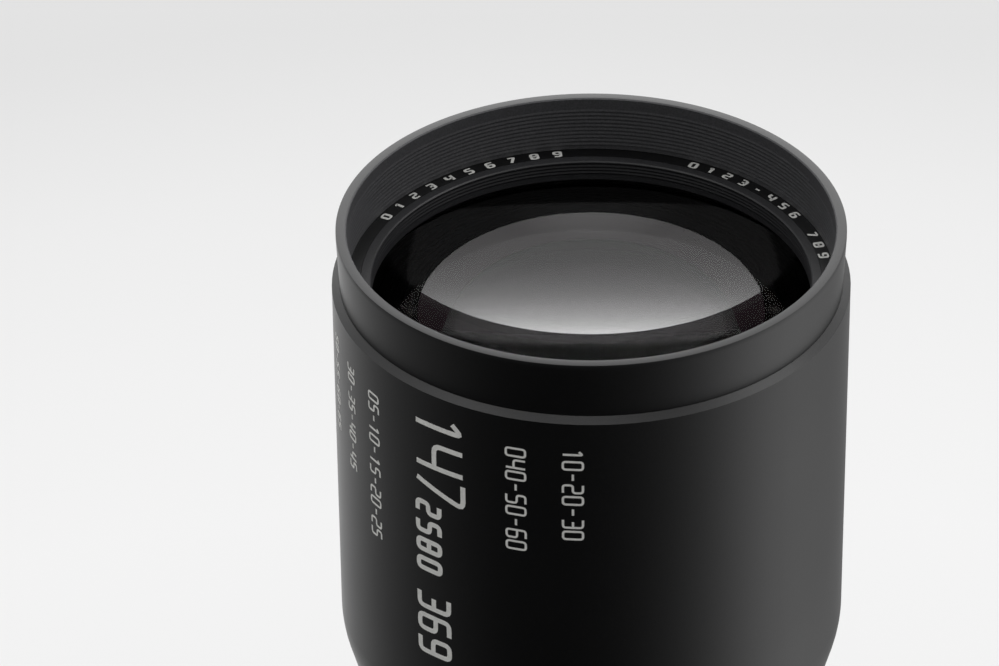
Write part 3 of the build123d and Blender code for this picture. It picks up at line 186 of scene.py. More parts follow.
class RubberGrip(bpy.types.PropertyGroup):
    """Blocks of the rubber grip."""
    ribs: IntProperty(name="Ribs", description="Blocks round the ring", default=48, min=8)
    rows: IntProperty(name="Rows", description="Blocks along the ring", default=5, min=1)
    groove: length_property("Groove", 1.5, "Width of the grooves between blocks")
    row_gap: length_property("Row gap", 2.4, "Gap between two rows")
    block_height: length_property("Block height", 1.2, "How far a block stands out of the sleeve")
    rounding: length_property("Rounding", 0.3, "Rounding of the blocks' edges")


class StudioStage(bpy.types.PropertyGroup):
    """Floor, light and camera."""
    floor_size: length_property("Floor size", 8000, "Side of the square floor")
    tent_radius: length_property("Tent radius", 1600, "Radius of the curved light cloth")
    tent_half_width: length_property("Tent half width", 1800, "Half the width of the light cloth")
    tent_level: number_property("Tent level", 1.24, "Even light level of the cloth")
    glow_level: number_property("Glow level", 1.55, "Extra light of the glow behind the lens")
    overhead_power: number_property("Overhead lamp", 1.5, "Power of the lamp above the lens", subtype="POWER")
    right_power: number_property("Right lamp", 6.5, "Power of the lamp on the right", subtype="POWER")
    left_power: number_property("Left lamp", 3.0, "Power of the lamp on the left", subtype="POWER")
    focal_length: number_property("Focal length", 195.9, "Focal length in mm on a 36 mm wide frame")
    elevation: number_property(
        "Camera elevation", math.radians(33.31), "Angle of the view below the horizon",
        subtype="ANGLE", unit="ROTATION",
    )
    roll: FloatProperty(
        name="Camera roll", description="Turn of the camera about its view",
        default=math.radians(-0.685), subtype="ANGLE", unit="ROTATION",
    )
    camera_place: FloatVectorProperty(
        name="Camera place", description="Where the camera stands", default=(-0.01561, -0.77411, 0.81196),
        subtype="TRANSLATION", unit="LENGTH", size=3,
    )


def add_node(tree, kind, inputs=None, **settings):
    """Adds a node, sets its properties, and gives each named input a value or a link. A node given as a
    value is linked by its first output."""
    node = tree.nodes.new(kind)
    for name, value in settings.items():
        setattr(node, name, value)
    for name, value in (inputs or {}).items():
        if isinstance(value, bpy.types.Node):
            value = value.outputs[0]
        if isinstance(value, bpy.types.NodeSocket):
            tree.links.new(value, node.inputs[name])
        else:
            node.inputs[name].default_value = value
    return node


def start_material(name):
    """An empty material, its tree, and the place of each point on its piece."""
    material = bpy.data.materials.get(name) or bpy.data.materials.new(name)
    material.use_nodes = True
    tree = material.node_tree
    tree.nodes.clear()
    return material, tree, add_node(tree, "ShaderNodeTexCoord").outputs["Object"]


def end_material(material, shader):
    add_node(material.node_tree, "ShaderNodeOutputMaterial", {"Surface": shader})
    return material


def rgba(colour):
    return (*colour, 1.0)


def varied_colour(tree, colour, pattern, darkest, lightest, low=0.0, high=1.0):
    """A colour made darker and lighter by a pattern that runs from low to high."""
    tone = add_node(tree, "ShaderNodeMapRange", {
        "Value": pattern, "From Min": low, "From Max": high, "To Min": darkest, "To Max": lightest,
    })
    return add_node(tree, "ShaderNodeVectorMath", {0: tuple(colour), "Scale": tone}, operation="SCALE")


def axis_distance(tree, place):
    """Distance from the lens's axis, for what runs round it."""
    flat = add_node(tree, "ShaderNodeVectorMath", {0: place, 1: (1.0, 1.0, 0.0)}, operation="MULTIPLY")
    return add_node(tree, "ShaderNodeVectorMath", {0: flat}, operation="LENGTH").outputs["Value"]


def end_surface(material, colour, roughness, relief, others=None):
    """Ends a material in one surface. Roughness is (pattern, smoothest, dullest) and relief is (pattern,
    strength, height), or None where the surface has none."""
    tree = material.node_tree
    pattern, smoothest, dullest = roughness
    rough = add_node(tree, "ShaderNodeMapRange", {"Value": pattern, "To Min": smoothest, "To Max": dullest})
    inputs = {"Base Color": colour, "Roughness": rough, **(others or {})}
    if relief is not None:
        pattern, strength, height = relief
        inputs["Normal"] = add_node(tree, "ShaderNodeBump", {
            "Height": pattern, "Strength": strength, "Distance": height,
        })
    return end_material(material, add_node(tree, "ShaderNodeBsdfPrincipled", inputs))


def blasted_anodise(name, colour, roughness, gloss):
    """Black anodised aluminium, fine bead blasted: a soft even sheen with a faint grain. The real grain
    is about 0.1 mm and is drawn at 0.35 mm, the finest that the picture can hold."""
    material, tree, place = start_material(name)
    grain_size, cloud_size, spread = 0.35 * MM, 28 * MM, 0.035
    grain = add_node(tree, "ShaderNodeTexNoise", {
        "Vector": place, "Scale": 1 / grain_size, "Detail": 3.0, "Roughness": 0.7,
    })
    cloud = add_node(tree, "ShaderNodeTexNoise", {"Vector": place, "Scale": 1 / cloud_size, "Detail": 2.0})
    return end_surface(
        material, varied_colour(tree, colour, grain, 0.75, 1.3, 0.35, 0.65),
        roughness=(cloud, roughness - spread, roughness + spread), relief=(grain, 0.35, 0.02 * MM),
        others={"Specular IOR Level": gloss},
    )


def turned_anodise(colour):
    """Black anodised aluminium left as it came off the lathe: rings of tool marks round the axis, which
    are 0.1 mm apart on the real part and drawn at 0.3 mm."""
    material, tree, place = start_material("turned_anodise")
    mark_size, cloud_size = 0.3 * MM, 20 * MM
    along = add_node(tree, "ShaderNodeMapping", {"Vector": place, "Scale": (0.02, 0.02, 1.0)})
    rings = add_node(tree, "ShaderNodeTexNoise", {"Vector": along, "Scale": 1 / mark_size, "Detail": 2.0})
    cloud = add_node(tree, "ShaderNodeTexNoise", {"Vector": place, "Scale": 1 / cloud_size, "Detail": 3.0})
    return end_surface(
        material, varied_colour(tree, colour, cloud, 0.85, 1.2),
        roughness=(rings, 0.32, 0.44), relief=(rings, 0.3, 0.01 * MM),
    )


def sprayed_paint(name, colour, roughness, grain_size):
    """Sprayed black paint: no gloss inside the lens, smoother on the printed ring, with the paint's
    own fine texture."""
    material, tree, place = start_material(name)
    spread = 0.06
    grain = add_node(tree, "ShaderNodeTexNoise", {"Vector": place, "Scale": 1 / grain_size, "Detail": 2.0})
    return end_surface(
        material, varied_colour(tree, colour, grain, 0.8, 1.25),
        roughness=(grain, roughness - spread, roughness + spread), relief=(grain, 0.25, 0.02 * MM),
    )


def turned_metal(name, colour, roughness, mark_size):
    """Bare or plated metal turned on a lathe: bright, with fine rings round the axis."""
    material, tree, place = start_material(name)
    wear_size = 6 * MM
    height = add_node(tree, "ShaderNodeSeparateXYZ", {0: place})
    spread = add_node(tree, "ShaderNodeMath", {0: axis_distance(tree, place), 1: height.outputs["Z"]},
                      operation="ADD")
    rings = add_node(tree, "ShaderNodeTexNoise", {"W": spread, "Scale": 1 / mark_size, "Detail": 2.0},
                     noise_dimensions="1D")
    wear = add_node(tree, "ShaderNodeTexNoise", {"Vector": place, "Scale": 1 / wear_size, "Detail": 3.0})
    return end_surface(
        material, varied_colour(tree, colour, wear, 0.85, 1.05),
        roughness=(rings, roughness * 0.7, roughness * 1.3), relief=(rings, 0.2, 0.01 * MM),
        others={"Metallic": 1.0},
    )


def rolled_sheet(name, colour):
    """Thin rolled steel sheet, blued: dark, with long faint rolling marks and a soft sheen."""
    material, tree, place = start_material(name)
    mark_size = 0.5 * MM
    along = add_node(tree, "ShaderNodeMapping", {"Vector": place, "Scale": (1.0, 0.05, 1.0)})
    marks = add_node(tree, "ShaderNodeTexNoise", {"Vector": along, "Scale": 1 / mark_size, "Detail": 2.0})
    return end_surface(
        material, varied_colour(tree, colour, marks, 0.9, 1.1),
        roughness=(marks, 0.42, 0.5), relief=None, others={"Metallic": 1.0},
    )


def moulded_rubber(colour):
    """Moulded nitrile rubber: dark, dull, with the mould's fine texture and dusty high spots."""
    material, tree, place = start_material("moulded_rubber")
    grain_size, dust_size = 0.4 * MM, 5 * MM
    texture = add_node(tree, "ShaderNodeTexVoronoi", {"Vector": place, "Scale": 1 / grain_size})
    dust = add_node(tree, "ShaderNodeTexNoise", {"Vector": place, "Scale": 1 / dust_size, "Detail": 4.0})
    return end_surface(
        material, varied_colour(tree, colour, dust, 0.7, 1.6),
        roughness=(dust, 0.62, 0.8), relief=(texture.outputs["Distance"], 0.4, 0.04 * MM),
        others={"Sheen Weight": 0.05, "Sheen Roughness": 0.5},
    )


def filled_paint(name, colour):
    """Enamel rubbed into the engraving: flat and a little uneven."""
    material, tree, place = start_material(name)
    patch_size = 0.8 * MM
    patch = add_node(tree, "ShaderNodeTexNoise", {"Vector": place, "Scale": 1 / patch_size, "Detail": 3.0})
    shader = add_node(tree, "ShaderNodeBsdfPrincipled", {
        "Base Color": varied_colour(tree, colour, patch, 0.8, 1.12), "Roughness": 0.6,
    })
    return end_material(material, shader)


def optical_glass(name, tint, share):
    """Polished optical glass. A coating keeps only a share of the bare glass's reflections; the rest
    goes straight through. The share wanders a little, as coatings do."""
    material, tree, place = start_material(name)
    crown_ior, cloud_size = 1.52, 30 * MM
    glass = add_node(tree, "ShaderNodeBsdfPrincipled", {
        "Base Color": (1.0, 1.0, 1.0, 1.0), "Roughness": 0.0, "IOR": crown_ior, "Transmission Weight": 1.0,
        "Specular Tint": rgba(tint),
    })
    if share == 1:
        return end_material(material, glass)
    cloud = add_node(tree, "ShaderNodeTexNoise", {"Vector": place, "Scale": 1 / cloud_size})
    through = add_node(tree, "ShaderNodeMapRange", {
        "Value": cloud, "From Min": 0.3, "From Max": 0.7,
        "To Min": 1 - 0.95 * share, "To Max": 1 - 1.05 * share,
    })
    clear = add_node(tree, "ShaderNodeBsdfRefraction", {"Roughness": 0.0, "IOR": crown_ior})
    return end_material(material, add_node(tree, "ShaderNodeMixShader", {0: through, 1: glass, 2: clear}))


def brushed_lacquer(name, colour, darkest, lightest, roughness, gloss):
    """Dark lacquer seen through the glass: clear on the back of the glass, with a faint reflection, and
    dull on the spacer behind it. Both show the brush's fine swirls round the axis."""
    material, tree, place = start_material(name)
    swirl_size = 0.8 * MM
    swirl = add_node(tree, "ShaderNodeTexNoise", {"W": axis_distance(tree, place), "Scale": 1 / swirl_size},
                     noise_dimensions="1D")
    shader = add_node(tree, "ShaderNodeBsdfPrincipled", {
        "Base Color": varied_colour(tree, colour, swirl, darkest, lightest), "Roughness": roughness,
        "Specular IOR Level": gloss,
    })
    return end_material(material, shader)


def new_piece(name, mesh):
    piece = bpy.data.objects.new(name, mesh)
    bpy.context.scene.collection.objects.link(piece)
    return piece


def lathe(name, outline, segments=256, sharp=30.0):
    """Ring or disc from a closed outline of (radius, z, slot): each slot is the material of the face
    band from that point to the next."""
    mesh = bpy.data.meshes.new(name)
    build = bmesh.new()
    turns = [2 * math.pi * i / segments for i in range(segments)]
    on_axis = 1e-7
    rings = []
    for radius, z, _ in outline:
        if radius < on_axis:
            rings.append([build.verts.new((0, 0, z))] * segments)
        else:
            rings.append([build.verts.new((radius * math.cos(a), radius * math.sin(a), z)) for a in turns])
    for k, (_, _, slot) in enumerate(outline):
        near, far = rings[k], rings[(k + 1) % len(rings)]
        for i in range(segments):
            j = (i + 1) % segments
            corners = list(dict.fromkeys((near[i], near[j], far[j], far[i])))
            if len(corners) > 2:
                build.faces.new(corners).material_index = slot
    bmesh.ops.recalc_face_normals(build, faces=build.faces)
    build.to_mesh(mesh)
    build.free()
    mesh.shade_smooth()
    mesh.set_sharp_from_angle(angle=math.radians(sharp))
    return new_piece(name, mesh)


def dress(piece, *materials):
    for material in materials:
        piece.data.materials.append(material)


def sag(curve, radius):
    return curve - math.sqrt(curve * curve - radius * radius)


def face_points(curve, radius, vertex, direction, slot, steps=28):
    """Points of a lens face from its vertex out to its edge. The direction is 1 where the edge is above
    the vertex and -1 where it is below."""
    radii = [radius * i / steps for i in range(steps + 1)]
    return [(r, vertex + direction * sag(curve, r), slot) for r in radii]


def lens_outline(front, back, clear=None):
    """Closed outline of a lens: front face in slot 0, back face in slot 1 and edge in slot 2. Each face
    is (curve, radius, vertex, direction). Beyond the clear radius the back face is painted, in slot 3."""
    upper = face_points(*front, slot=0)
    upper[-1] = (upper[-1][0], upper[-1][1], 2)
    lower = list(reversed(face_points(*back, slot=1)))
    if clear is not None:
        curve, _, vertex, direction = back
        margin = 0.2 * MM
        border = [(r, z, 3) for r, z, _ in lower if r > clear + margin]
        inside = [point for point in lower if point[0] < clear - margin]
        lower = border + [(clear, vertex + direction * sag(curve, clear), 1)] + inside
    return upper + lower


# Each character is a list of (points, closed) on a box of 1 by 1, which is then drawn DIGIT_WIDTH wide.
DIGIT_WIDTH = 0.52
DIGIT_ROUNDING = 0.14
DIGIT_STEP = 0.8 * MM
INFINITY_LOOP = [(0.5, 0.5), (0.75, 0.75), (1.35, 0.75), (1.6, 0.5), (1.35, 0.25), (0.75, 0.25), (0.5, 0.5)]
DIGIT_STROKES = {
    "0": [([(0, 0), (1, 0), (1, 1), (0, 1)], True)],
    "1": [([(0.2, 0.8), (0.6, 1), (0.6, 0)], False)],
    "2": [([(0, 1), (1, 1), (1, 0.5), (0, 0.5), (0, 0), (1, 0)], False)],
    "3": [([(0, 1), (1, 1), (1, 0), (0, 0)], False), ([(0.25, 0.5), (0.93, 0.5)], False)],
    "4": [([(0, 1), (0, 0.4), (1, 0.4)], False), ([(1, 1), (1, 0)], False)],
    "5": [([(1, 1), (0, 1), (0, 0.55), (1, 0.55), (1, 0), (0, 0)], False)],
    "6": [([(1, 1), (0, 1), (0, 0), (1, 0), (1, 0.55), (0.08, 0.55)], False)],
    "7": [([(0, 1), (1, 1), (0.3, 0)], False)],
    "8": [([(0, 0), (1, 0), (1, 1), (0, 1)], True), ([(0.08, 0.5), (0.92, 0.5)], False)],
    "9": [([(0.92, 0.45), (0, 0.45), (0, 1), (1, 1), (1, 0), (0, 0)], False)],
    "-": [([(0.1, 0.5), (0.9, 0.5)], False)],
    "*": [(INFINITY_LOOP, False), ([(1 - x, y) for x, y in INFINITY_LOOP], False)],
}


def rounded_path(points, closed, rounding, step):
    """The centre line of a stroke, with its corners rounded and its runs divided."""
    count = len(points)
    corners = []
    for i, point in enumerate(points):
        here = Vector(point)
        if not closed and i in (0, count - 1):
            corners.append([here])
            continue
        before = Vector(points[i - 1]) - here
        after = Vector(points[(i + 1) % count]) - here
        reach = min(rounding, before.length / 2, after.length / 2)
        first, last = here + before.normalized() * reach, here + after.normalized() * reach
        corners.append([first.lerp(here, t).lerp(here.lerp(last, t), t) for t in (0, 0.25, 0.5, 0.75, 1)])
    path = []
    for i, corner in enumerate(corners):
        path.extend(corner)
        if closed or i < count - 1:
            start, end = corner[-1], corners[(i + 1) % count][0]
            parts = max(1, math.ceil((end - start).length / step))
            path.extend(start.lerp(end, k / parts) for k in range(1, parts))
    same_place = 1e-9
    return [p for i, p in enumerate(path) if i == 0 or (p - path[i - 1]).length > same_place]


class Lettering:
    """Strokes of enamel that become one piece. They stand a little above a surface and reach a little
    below it. The surface is a function: surface(u, v, w) gives the point at that place and height."""

    def __init__(self, relief, root):
        self.build = bmesh.new()
        self.relief = relief
        self.root = root

    def stroke(self, path, closed, width, surface):
        """A closed ribbon along a path."""
        count = len(path)
        rows = []
        for i, point in enumerate(path):
            before = path[i - 1] if closed or i else None
            after = path[(i + 1) % count] if closed or i < count - 1 else None
            inward = (point - before).normalized() if before is not None else (after - point).normalized()
            outward = (after - point).normalized() if after is not None else inward
            along = (inward + outward).normalized()
            sharpest = 0.4
            across = Vector((-along.y, along.x)) * (width / 2) / max(sharpest, along.dot(outward))
            left, right = point + across, point - across
            rows.append([self.build.verts.new(surface(p.x, p.y, w)) for p, w in (
                (left, self.relief), (right, self.relief), (right, self.root), (left, self.root),
            )])
        for i in range(count if closed else count - 1):
            j = (i + 1) % count
            for k in range(4):
                n = (k + 1) % 4
                self.build.faces.new((rows[i][k], rows[i][n], rows[j][n], rows[j][k]))
        if not closed:
            self.build.faces.new(rows[0])
            self.build.faces.new(list(reversed(rows[-1])))

    def tick(self, length, width, surface):
        """A straight line from v = 0."""
        self.stroke([Vector((0, 0)), Vector((0, length))], False, width, surface)

    def dot(self, radius, surface, sides=24):
        """A round spot."""
        turns = [2 * math.pi * i / sides for i in range(sides)]
        upper, lower = [
            [self.build.verts.new(surface(radius * math.cos(a), radius * math.sin(a), w)) for a in turns]
            for w in (self.relief, self.root)
        ]
        self.build.faces.new(upper)
        self.build.faces.new(list(reversed(lower)))
        for i in range(sides):
            j = (i + 1) % sides
            self.build.faces.new((upper[i], lower[i], lower[j], upper[j]))

    def text(self, text, height, width, gap, surface):
        """Numbers from rounded strokes, starting at u = 0 with their feet at v = 0."""
        run, rise = height * DIGIT_WIDTH - width, height - width
        for i, character in enumerate(text):
            start = i * (height * DIGIT_WIDTH + gap) + width / 2
            for points, closed in DIGIT_STROKES.get(character, []):
                placed = [(start + x * run, width / 2 + y * rise) for x, y in points]
                path = rounded_path(placed, closed, height * DIGIT_ROUNDING, DIGIT_STEP)
                self.stroke(path, closed, width, surface)

    def finish(self, name, material, body):
        """Turns the strokes into one piece that rides on a body."""
        bmesh.ops.recalc_face_normals(self.build, faces=self.build.faces)
        mesh = bpy.data.meshes.new(name)
        self.build.to_mesh(mesh)
        self.build.free()
        mesh.materials.append(material)
        piece = new_piece(name, mesh)
        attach(piece, body)


def text_width(text, height, gap):
    return len(text) * (height * DIGIT_WIDTH + gap) - gap


def down_the_barrel(radius, angle, start):
    """Surface for a line that reads along the axis, away from the front."""
    def surface(u, v, w):
        turn = angle + v / radius
        return ((radius + w) * math.sin(turn), -(radius + w) * math.cos(turn), start - u)
    return surface


def round_the_barrel(radius, angle, start):
    """Surface for a line that reads round the barrel, with its feet towards the mount."""
    def surface(u, v, w):
        turn = angle + u / radius
        return ((radius + w) * math.sin(turn), -(radius + w) * math.cos(turn), start + v)
    return surface


def on_the_face(radius, angle, height, stretch):
    """Surface for a line round a flat face, with its feet towards the axis and stretched sideways.
    The angle runs clockwise from +Y, as the camera sees it."""
    def surface(u, v, w):
        turn = angle + u * stretch / radius
        return ((radius + v) * math.sin(turn), (radius + v) * math.cos(turn), height + w)
    return surface


def start_tree(name, inputs):
    """A geometry tree with named inputs and one geometry output, and the sockets of its inputs."""
    tree = bpy.data.node_groups.new(name, "GeometryNodeTree")
    for label, (kind, value) in inputs.items():
        socket = tree.interface.new_socket(label, in_out="INPUT", socket_type=f"NodeSocket{kind}")
        if value is not None:
            socket.default_value = value
    tree.interface.new_socket("Geometry", in_out="OUTPUT", socket_type="NodeSocketGeometry")
    return tree, tree.nodes.new("NodeGroupInput").outputs


def end_tree(tree, geometry, material):
    """Makes the instances real and gives them their material."""
    solid = add_node(tree, "GeometryNodeRealizeInstances", {0: geometry})
    dressed = add_node(tree, "GeometryNodeSetMaterial", {"Geometry": solid, "Material": material})
    add_node(tree, "NodeGroupOutput", {0: dressed})
    return tree


def run_tree(name, tree, values):
    """Runs a tree once with these inputs and keeps its plain mesh."""
    piece = new_piece(name, bpy.data.meshes.new(name))
    modifier = piece.modifiers.new("build", "NODES")
    modifier.node_group = tree
    for item in tree.interface.items_tree:
        if item.item_type == "SOCKET" and item.in_out == "INPUT" and item.name in values:
            modifier[item.identifier] = values[item.name]
    depsgraph = bpy.context.evaluated_depsgraph_get()
    mesh = bpy.data.meshes.new_from_object(piece.evaluated_get(depsgraph), depsgraph=depsgraph)
    piece.modifiers.remove(modifier)
    piece.data = mesh
    return piece


def thread_tree():
    """Helical ridge of a female screw thread."""
    tree, given = start_tree("screw_thread", {
        "Root Radius": ("Float", 0.041), "Pitch": ("Float", 0.00075), "Length": ("Float", 0.007),
        "Depth": ("Float", 0.0004), "Start": ("Float", 0.3), "Material": ("Material", None),
    })
    turns = add_node(tree, "ShaderNodeMath", {0: given["Length"], 1: given["Pitch"]}, operation="DIVIDE")
    spiral = add_node(tree, "GeometryNodeCurveSpiral", {
        "Resolution": 128, "Rotations": turns, "Start Radius": given["Root Radius"],
        "End Radius": given["Root Radius"], "Height": given["Length"],
    })
    upright = add_node(tree, "GeometryNodeSetCurveNormal", {"Curve": spiral}, mode="Z_UP")
    width = add_node(tree, "ShaderNodeMath", {0: given["Depth"], 1: 2.0}, operation="MULTIPLY")
    half_pitch = add_node(tree, "ShaderNodeMath", {0: given["Pitch"], 1: 0.5}, operation="MULTIPLY")
    flank = add_node(tree, "GeometryNodeCurvePrimitiveQuadrilateral", {
        "Width": width, "Bottom Height": half_pitch, "Top Height": half_pitch,
    }, mode="KITE")
    ridge = add_node(tree, "GeometryNodeCurveToMesh", {
        "Curve": upright, "Profile Curve": flank, "Fill Caps": True,
    })
    lift = add_node(tree, "ShaderNodeCombineXYZ", {"Z": given["Start"]})
    placed = add_node(tree, "GeometryNodeTransform", {"Geometry": ridge, "Translation": lift})
    return end_tree(tree, placed, given["Material"])


def block_tree():
    """Rows of blocks round the axis, each facing outwards."""
    tree, given = start_tree("ring_of_blocks", {
        "Radius": ("Float", 0.037), "Count": ("Int", 48), "Rows": ("Int", 5), "Row Spacing": ("Float", 0.016),
        "First Row": ("Float", 0.1), "Block Size": ("Vector", (0.001, 0.003, 0.01)), "Turn": ("Float", 0.0),
        "Material": ("Material", None),
    })
    first = add_node(tree, "ShaderNodeCombineXYZ", {"Z": given["First Row"]})
    spacing = add_node(tree, "ShaderNodeCombineXYZ", {"Z": given["Row Spacing"]})
    rows = add_node(tree, "GeometryNodeMeshLine", {
        "Count": given["Rows"], "Start Location": first, "Offset": spacing,
    }, mode="OFFSET")
    circle = add_node(tree, "GeometryNodeMeshCircle", {"Vertices": given["Count"], "Radius": given["Radius"]})
    turn = add_node(tree, "ShaderNodeCombineXYZ", {"Z": given["Turn"]})
    turned = add_node(tree, "GeometryNodeTransform", {"Geometry": circle, "Rotation": turn})
    rings = add_node(tree, "GeometryNodeInstanceOnPoints", {"Points": rows, "Instance": turned})
    places = add_node(tree, "GeometryNodeRealizeInstances", {0: rings})
    position = add_node(tree, "GeometryNodeInputPosition")
    outward = add_node(tree, "ShaderNodeVectorMath", {0: position, 1: (1.0, 1.0, 0.0)}, operation="MULTIPLY")
    facing = add_node(tree, "FunctionNodeAlignRotationToVector", {"Vector": outward},
                      axis="X", pivot_axis="Z")
    block = add_node(tree, "GeometryNodeMeshCube", {"Size": given["Block Size"]})
    blocks = add_node(tree, "GeometryNodeInstanceOnPoints", {
        "Points": places, "Instance": block, "Rotation": facing,
    })
    return end_tree(tree, blocks, given["Material"])


NODE_FINISHES = {
    "blasted_anodise": ["front_barrel"],
    "lock_ring_anodise": ["front_lock_ring"],
    "turned_anodise": [
        "rear_barrel", "main_barrel", "collar_lock_ring", "tripod_collar", "tripod_foot", "clamp_knob",
        "aperture_ring", "index_ring", "focus_ring",
    ],
    "inside_paint": [
        "rear_light_mask", "rear_lens_cell", "rear_lens_spacer", "rear_lock_ring", "iris_housing",
        "iris_actuator_ring", "iris_lock_ring", "guide_tube", "focus_cell", "focus_lock_ring",
        "light_baffle", "front_cell", "front_spacer", "front_group_lock",
    ],
    "name_ring_black": ["name_ring"],
    "bayonet_chrome": ["bayonet_mount"],
    "turned_brass": ["mount_shim", "clamp_pad", "cam_sleeve"],
    "bright_steel": ["mount_screws", "clamp_screw", "focus_stop_screw", "focus_ring_screws", "guide_pins"],
    "black_oxide_steel": ["collar_grub_screws", "foot_screws", "aperture_drive_screw", "front_barrel_screws"],
    "iris_steel": [f"iris_blade_{i:02d}" for i in range(1, 11)],
    "lens_glass": [
        "rear_back_element", "rear_middle_element", "rear_front_element", "focus_back_element",
        "focus_front_element",
    ],
}


class DressBody(bpy.types.Operator):
    """Give every carried-over solid its finish"""
    bl_idname = "lens.dress_body"
    bl_label = "Dress the body"

    def execute(self, context):
        colours = context.scene.lens_finishes
        made = (
            blasted_anodise("blasted_anodise", colours.anodised, roughness=0.435, gloss=0.5),
            blasted_anodise("lock_ring_anodise", colours.lock_ring, roughness=0.5, gloss=0.4),
            blasted_anodise("bore_anodise", colours.bore, roughness=0.55, gloss=0.5),
            turned_anodise(colours.anodised),
            sprayed_paint("inside_paint", colours.paint, roughness=0.6, grain_size=0.4 * MM),
            sprayed_paint("name_ring_black", colours.name_ring, roughness=0.35, grain_size=0.6 * MM),
            turned_metal("bayonet_chrome", colours.chrome, roughness=0.16, mark_size=0.35 * MM),
            turned_metal("turned_brass", colours.brass, roughness=0.28, mark_size=0.3 * MM),
            turned_metal("bright_steel", colours.steel, roughness=0.25, mark_size=0.2 * MM),
            turned_metal("black_oxide_steel", colours.black_steel, roughness=0.38, mark_size=0.3 * MM),
            rolled_sheet("iris_steel", colours.blued_steel),
            optical_glass("lens_glass", colours.coating, share=0.1),
        )
        for material in made:
            for node in NODE_FINISHES.get(material.name, []):
                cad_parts[node].material_slots[0].material = material
        return {"FINISHED"}


class BuildFilterRing(bpy.types.Operator):
    """Front ring with its helical filter thread"""
    bl_idname = "lens.filter_ring"
    bl_label = "Filter ring"

    def execute(self, context):
        thread = context.scene.lens_thread
        colour = context.scene.lens_finishes.anodised
        anodise = blasted_anodise("rim_anodise", colour, roughness=0.42, gloss=0.56)
        dull = bpy.data.materials["bore_anodise"]
        base, rim = RIM_BOX[0].z, RIM_BOX[1].z
        foot, edge = BELL_BOX[1].z + SEAM, RIM_BOX[1].x
        root = thread.crest_radius + thread.depth
        bore, neck, spigot = 41.6 * MM, 42.35 * MM, 42.65 * MM
        rounding, corner, chamfer = 0.15 * MM, 0.04 * MM, 0.2 * MM
        band, taper = 1.0 * MM, 0.4 * MM
        neck_length, lead = 0.65 * MM, 0.3 * MM
        outside = [
            (root + chamfer, rim), (edge - rounding, rim), (edge - corner, rim - corner),
            (edge, rim - rounding), (edge, rim - band), (edge - taper, foot), (neck, foot),
            (neck, foot - neck_length), (spigot, foot - neck_length - lead), (spigot, base),
        ]
        inside = [(bore, base), (bore, thread.start), (root, thread.start), (root, rim - chamfer)]
        ring = lathe("filter_ring", [(r, z, 0) for r, z in outside] + [(r, z, 1) for r, z in inside],
                     segments=360, sharp=35.0)
        dress(ring, anodise, dull)
        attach(ring, "barrel")
        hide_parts("front_ring")
        ridge = run_tree("filter_thread", thread_tree(), {
            "Root Radius": root, "Pitch": thread.pitch, "Length": thread.length - thread.pitch,
            "Depth": thread.depth, "Start": thread.start + thread.pitch / 2, "Material": dull,
        })
        # The flanks meet in real edges, and smooth shading over them would draw strong stripes.
        ridge.data.set_sharp_from_angle(angle=math.radians(5))
        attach(ridge, "barrel")
        return {"FINISHED"}


class BuildRidgedRing(bpy.types.Operator):
    """Ring that holds the first element, with fine ridges in its bore"""
    bl_idname = "lens.ridged_ring"
    bl_label = "Ridged ring"

    def execute(self, context):
        sizes = context.scene.lens_ridges
        low, high = LOCK_RING_BOX[0].z, LOCK_RING_BOX[1].z
        outer, flange = LOCK_RING_BOX[1].x, NAME_BOX[0].z - SEAM
        shoulder, bore = NAME_HOLE - SEAM, sizes.bore
        chamfer, top_land, bottom_land = 0.2 * MM, 0.4 * MM, 0.3 * MM
        outline = [
            (bore, low, 0), (outer, low, 0), (outer, flange, 0), (shoulder, flange, 0), (shoulder, high, 0),
            (bore + chamfer, high, 0), (bore, high - chamfer, 0),
        ]
        for i in range(int((high - low - top_land - bottom_land) / sizes.pitch)):
            top = high - top_land - sizes.pitch * i
            outline += [(bore, top, 0), (bore + sizes.depth, top - sizes.pitch / 2, 0)]
        ring = lathe("ridged_ring", outline, sharp=20.0)
        dress(ring, bpy.data.materials["lock_ring_anodise"])
        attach(ring, "barrel")
        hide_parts("front_lock_ring")
        return {"FINISHED"}


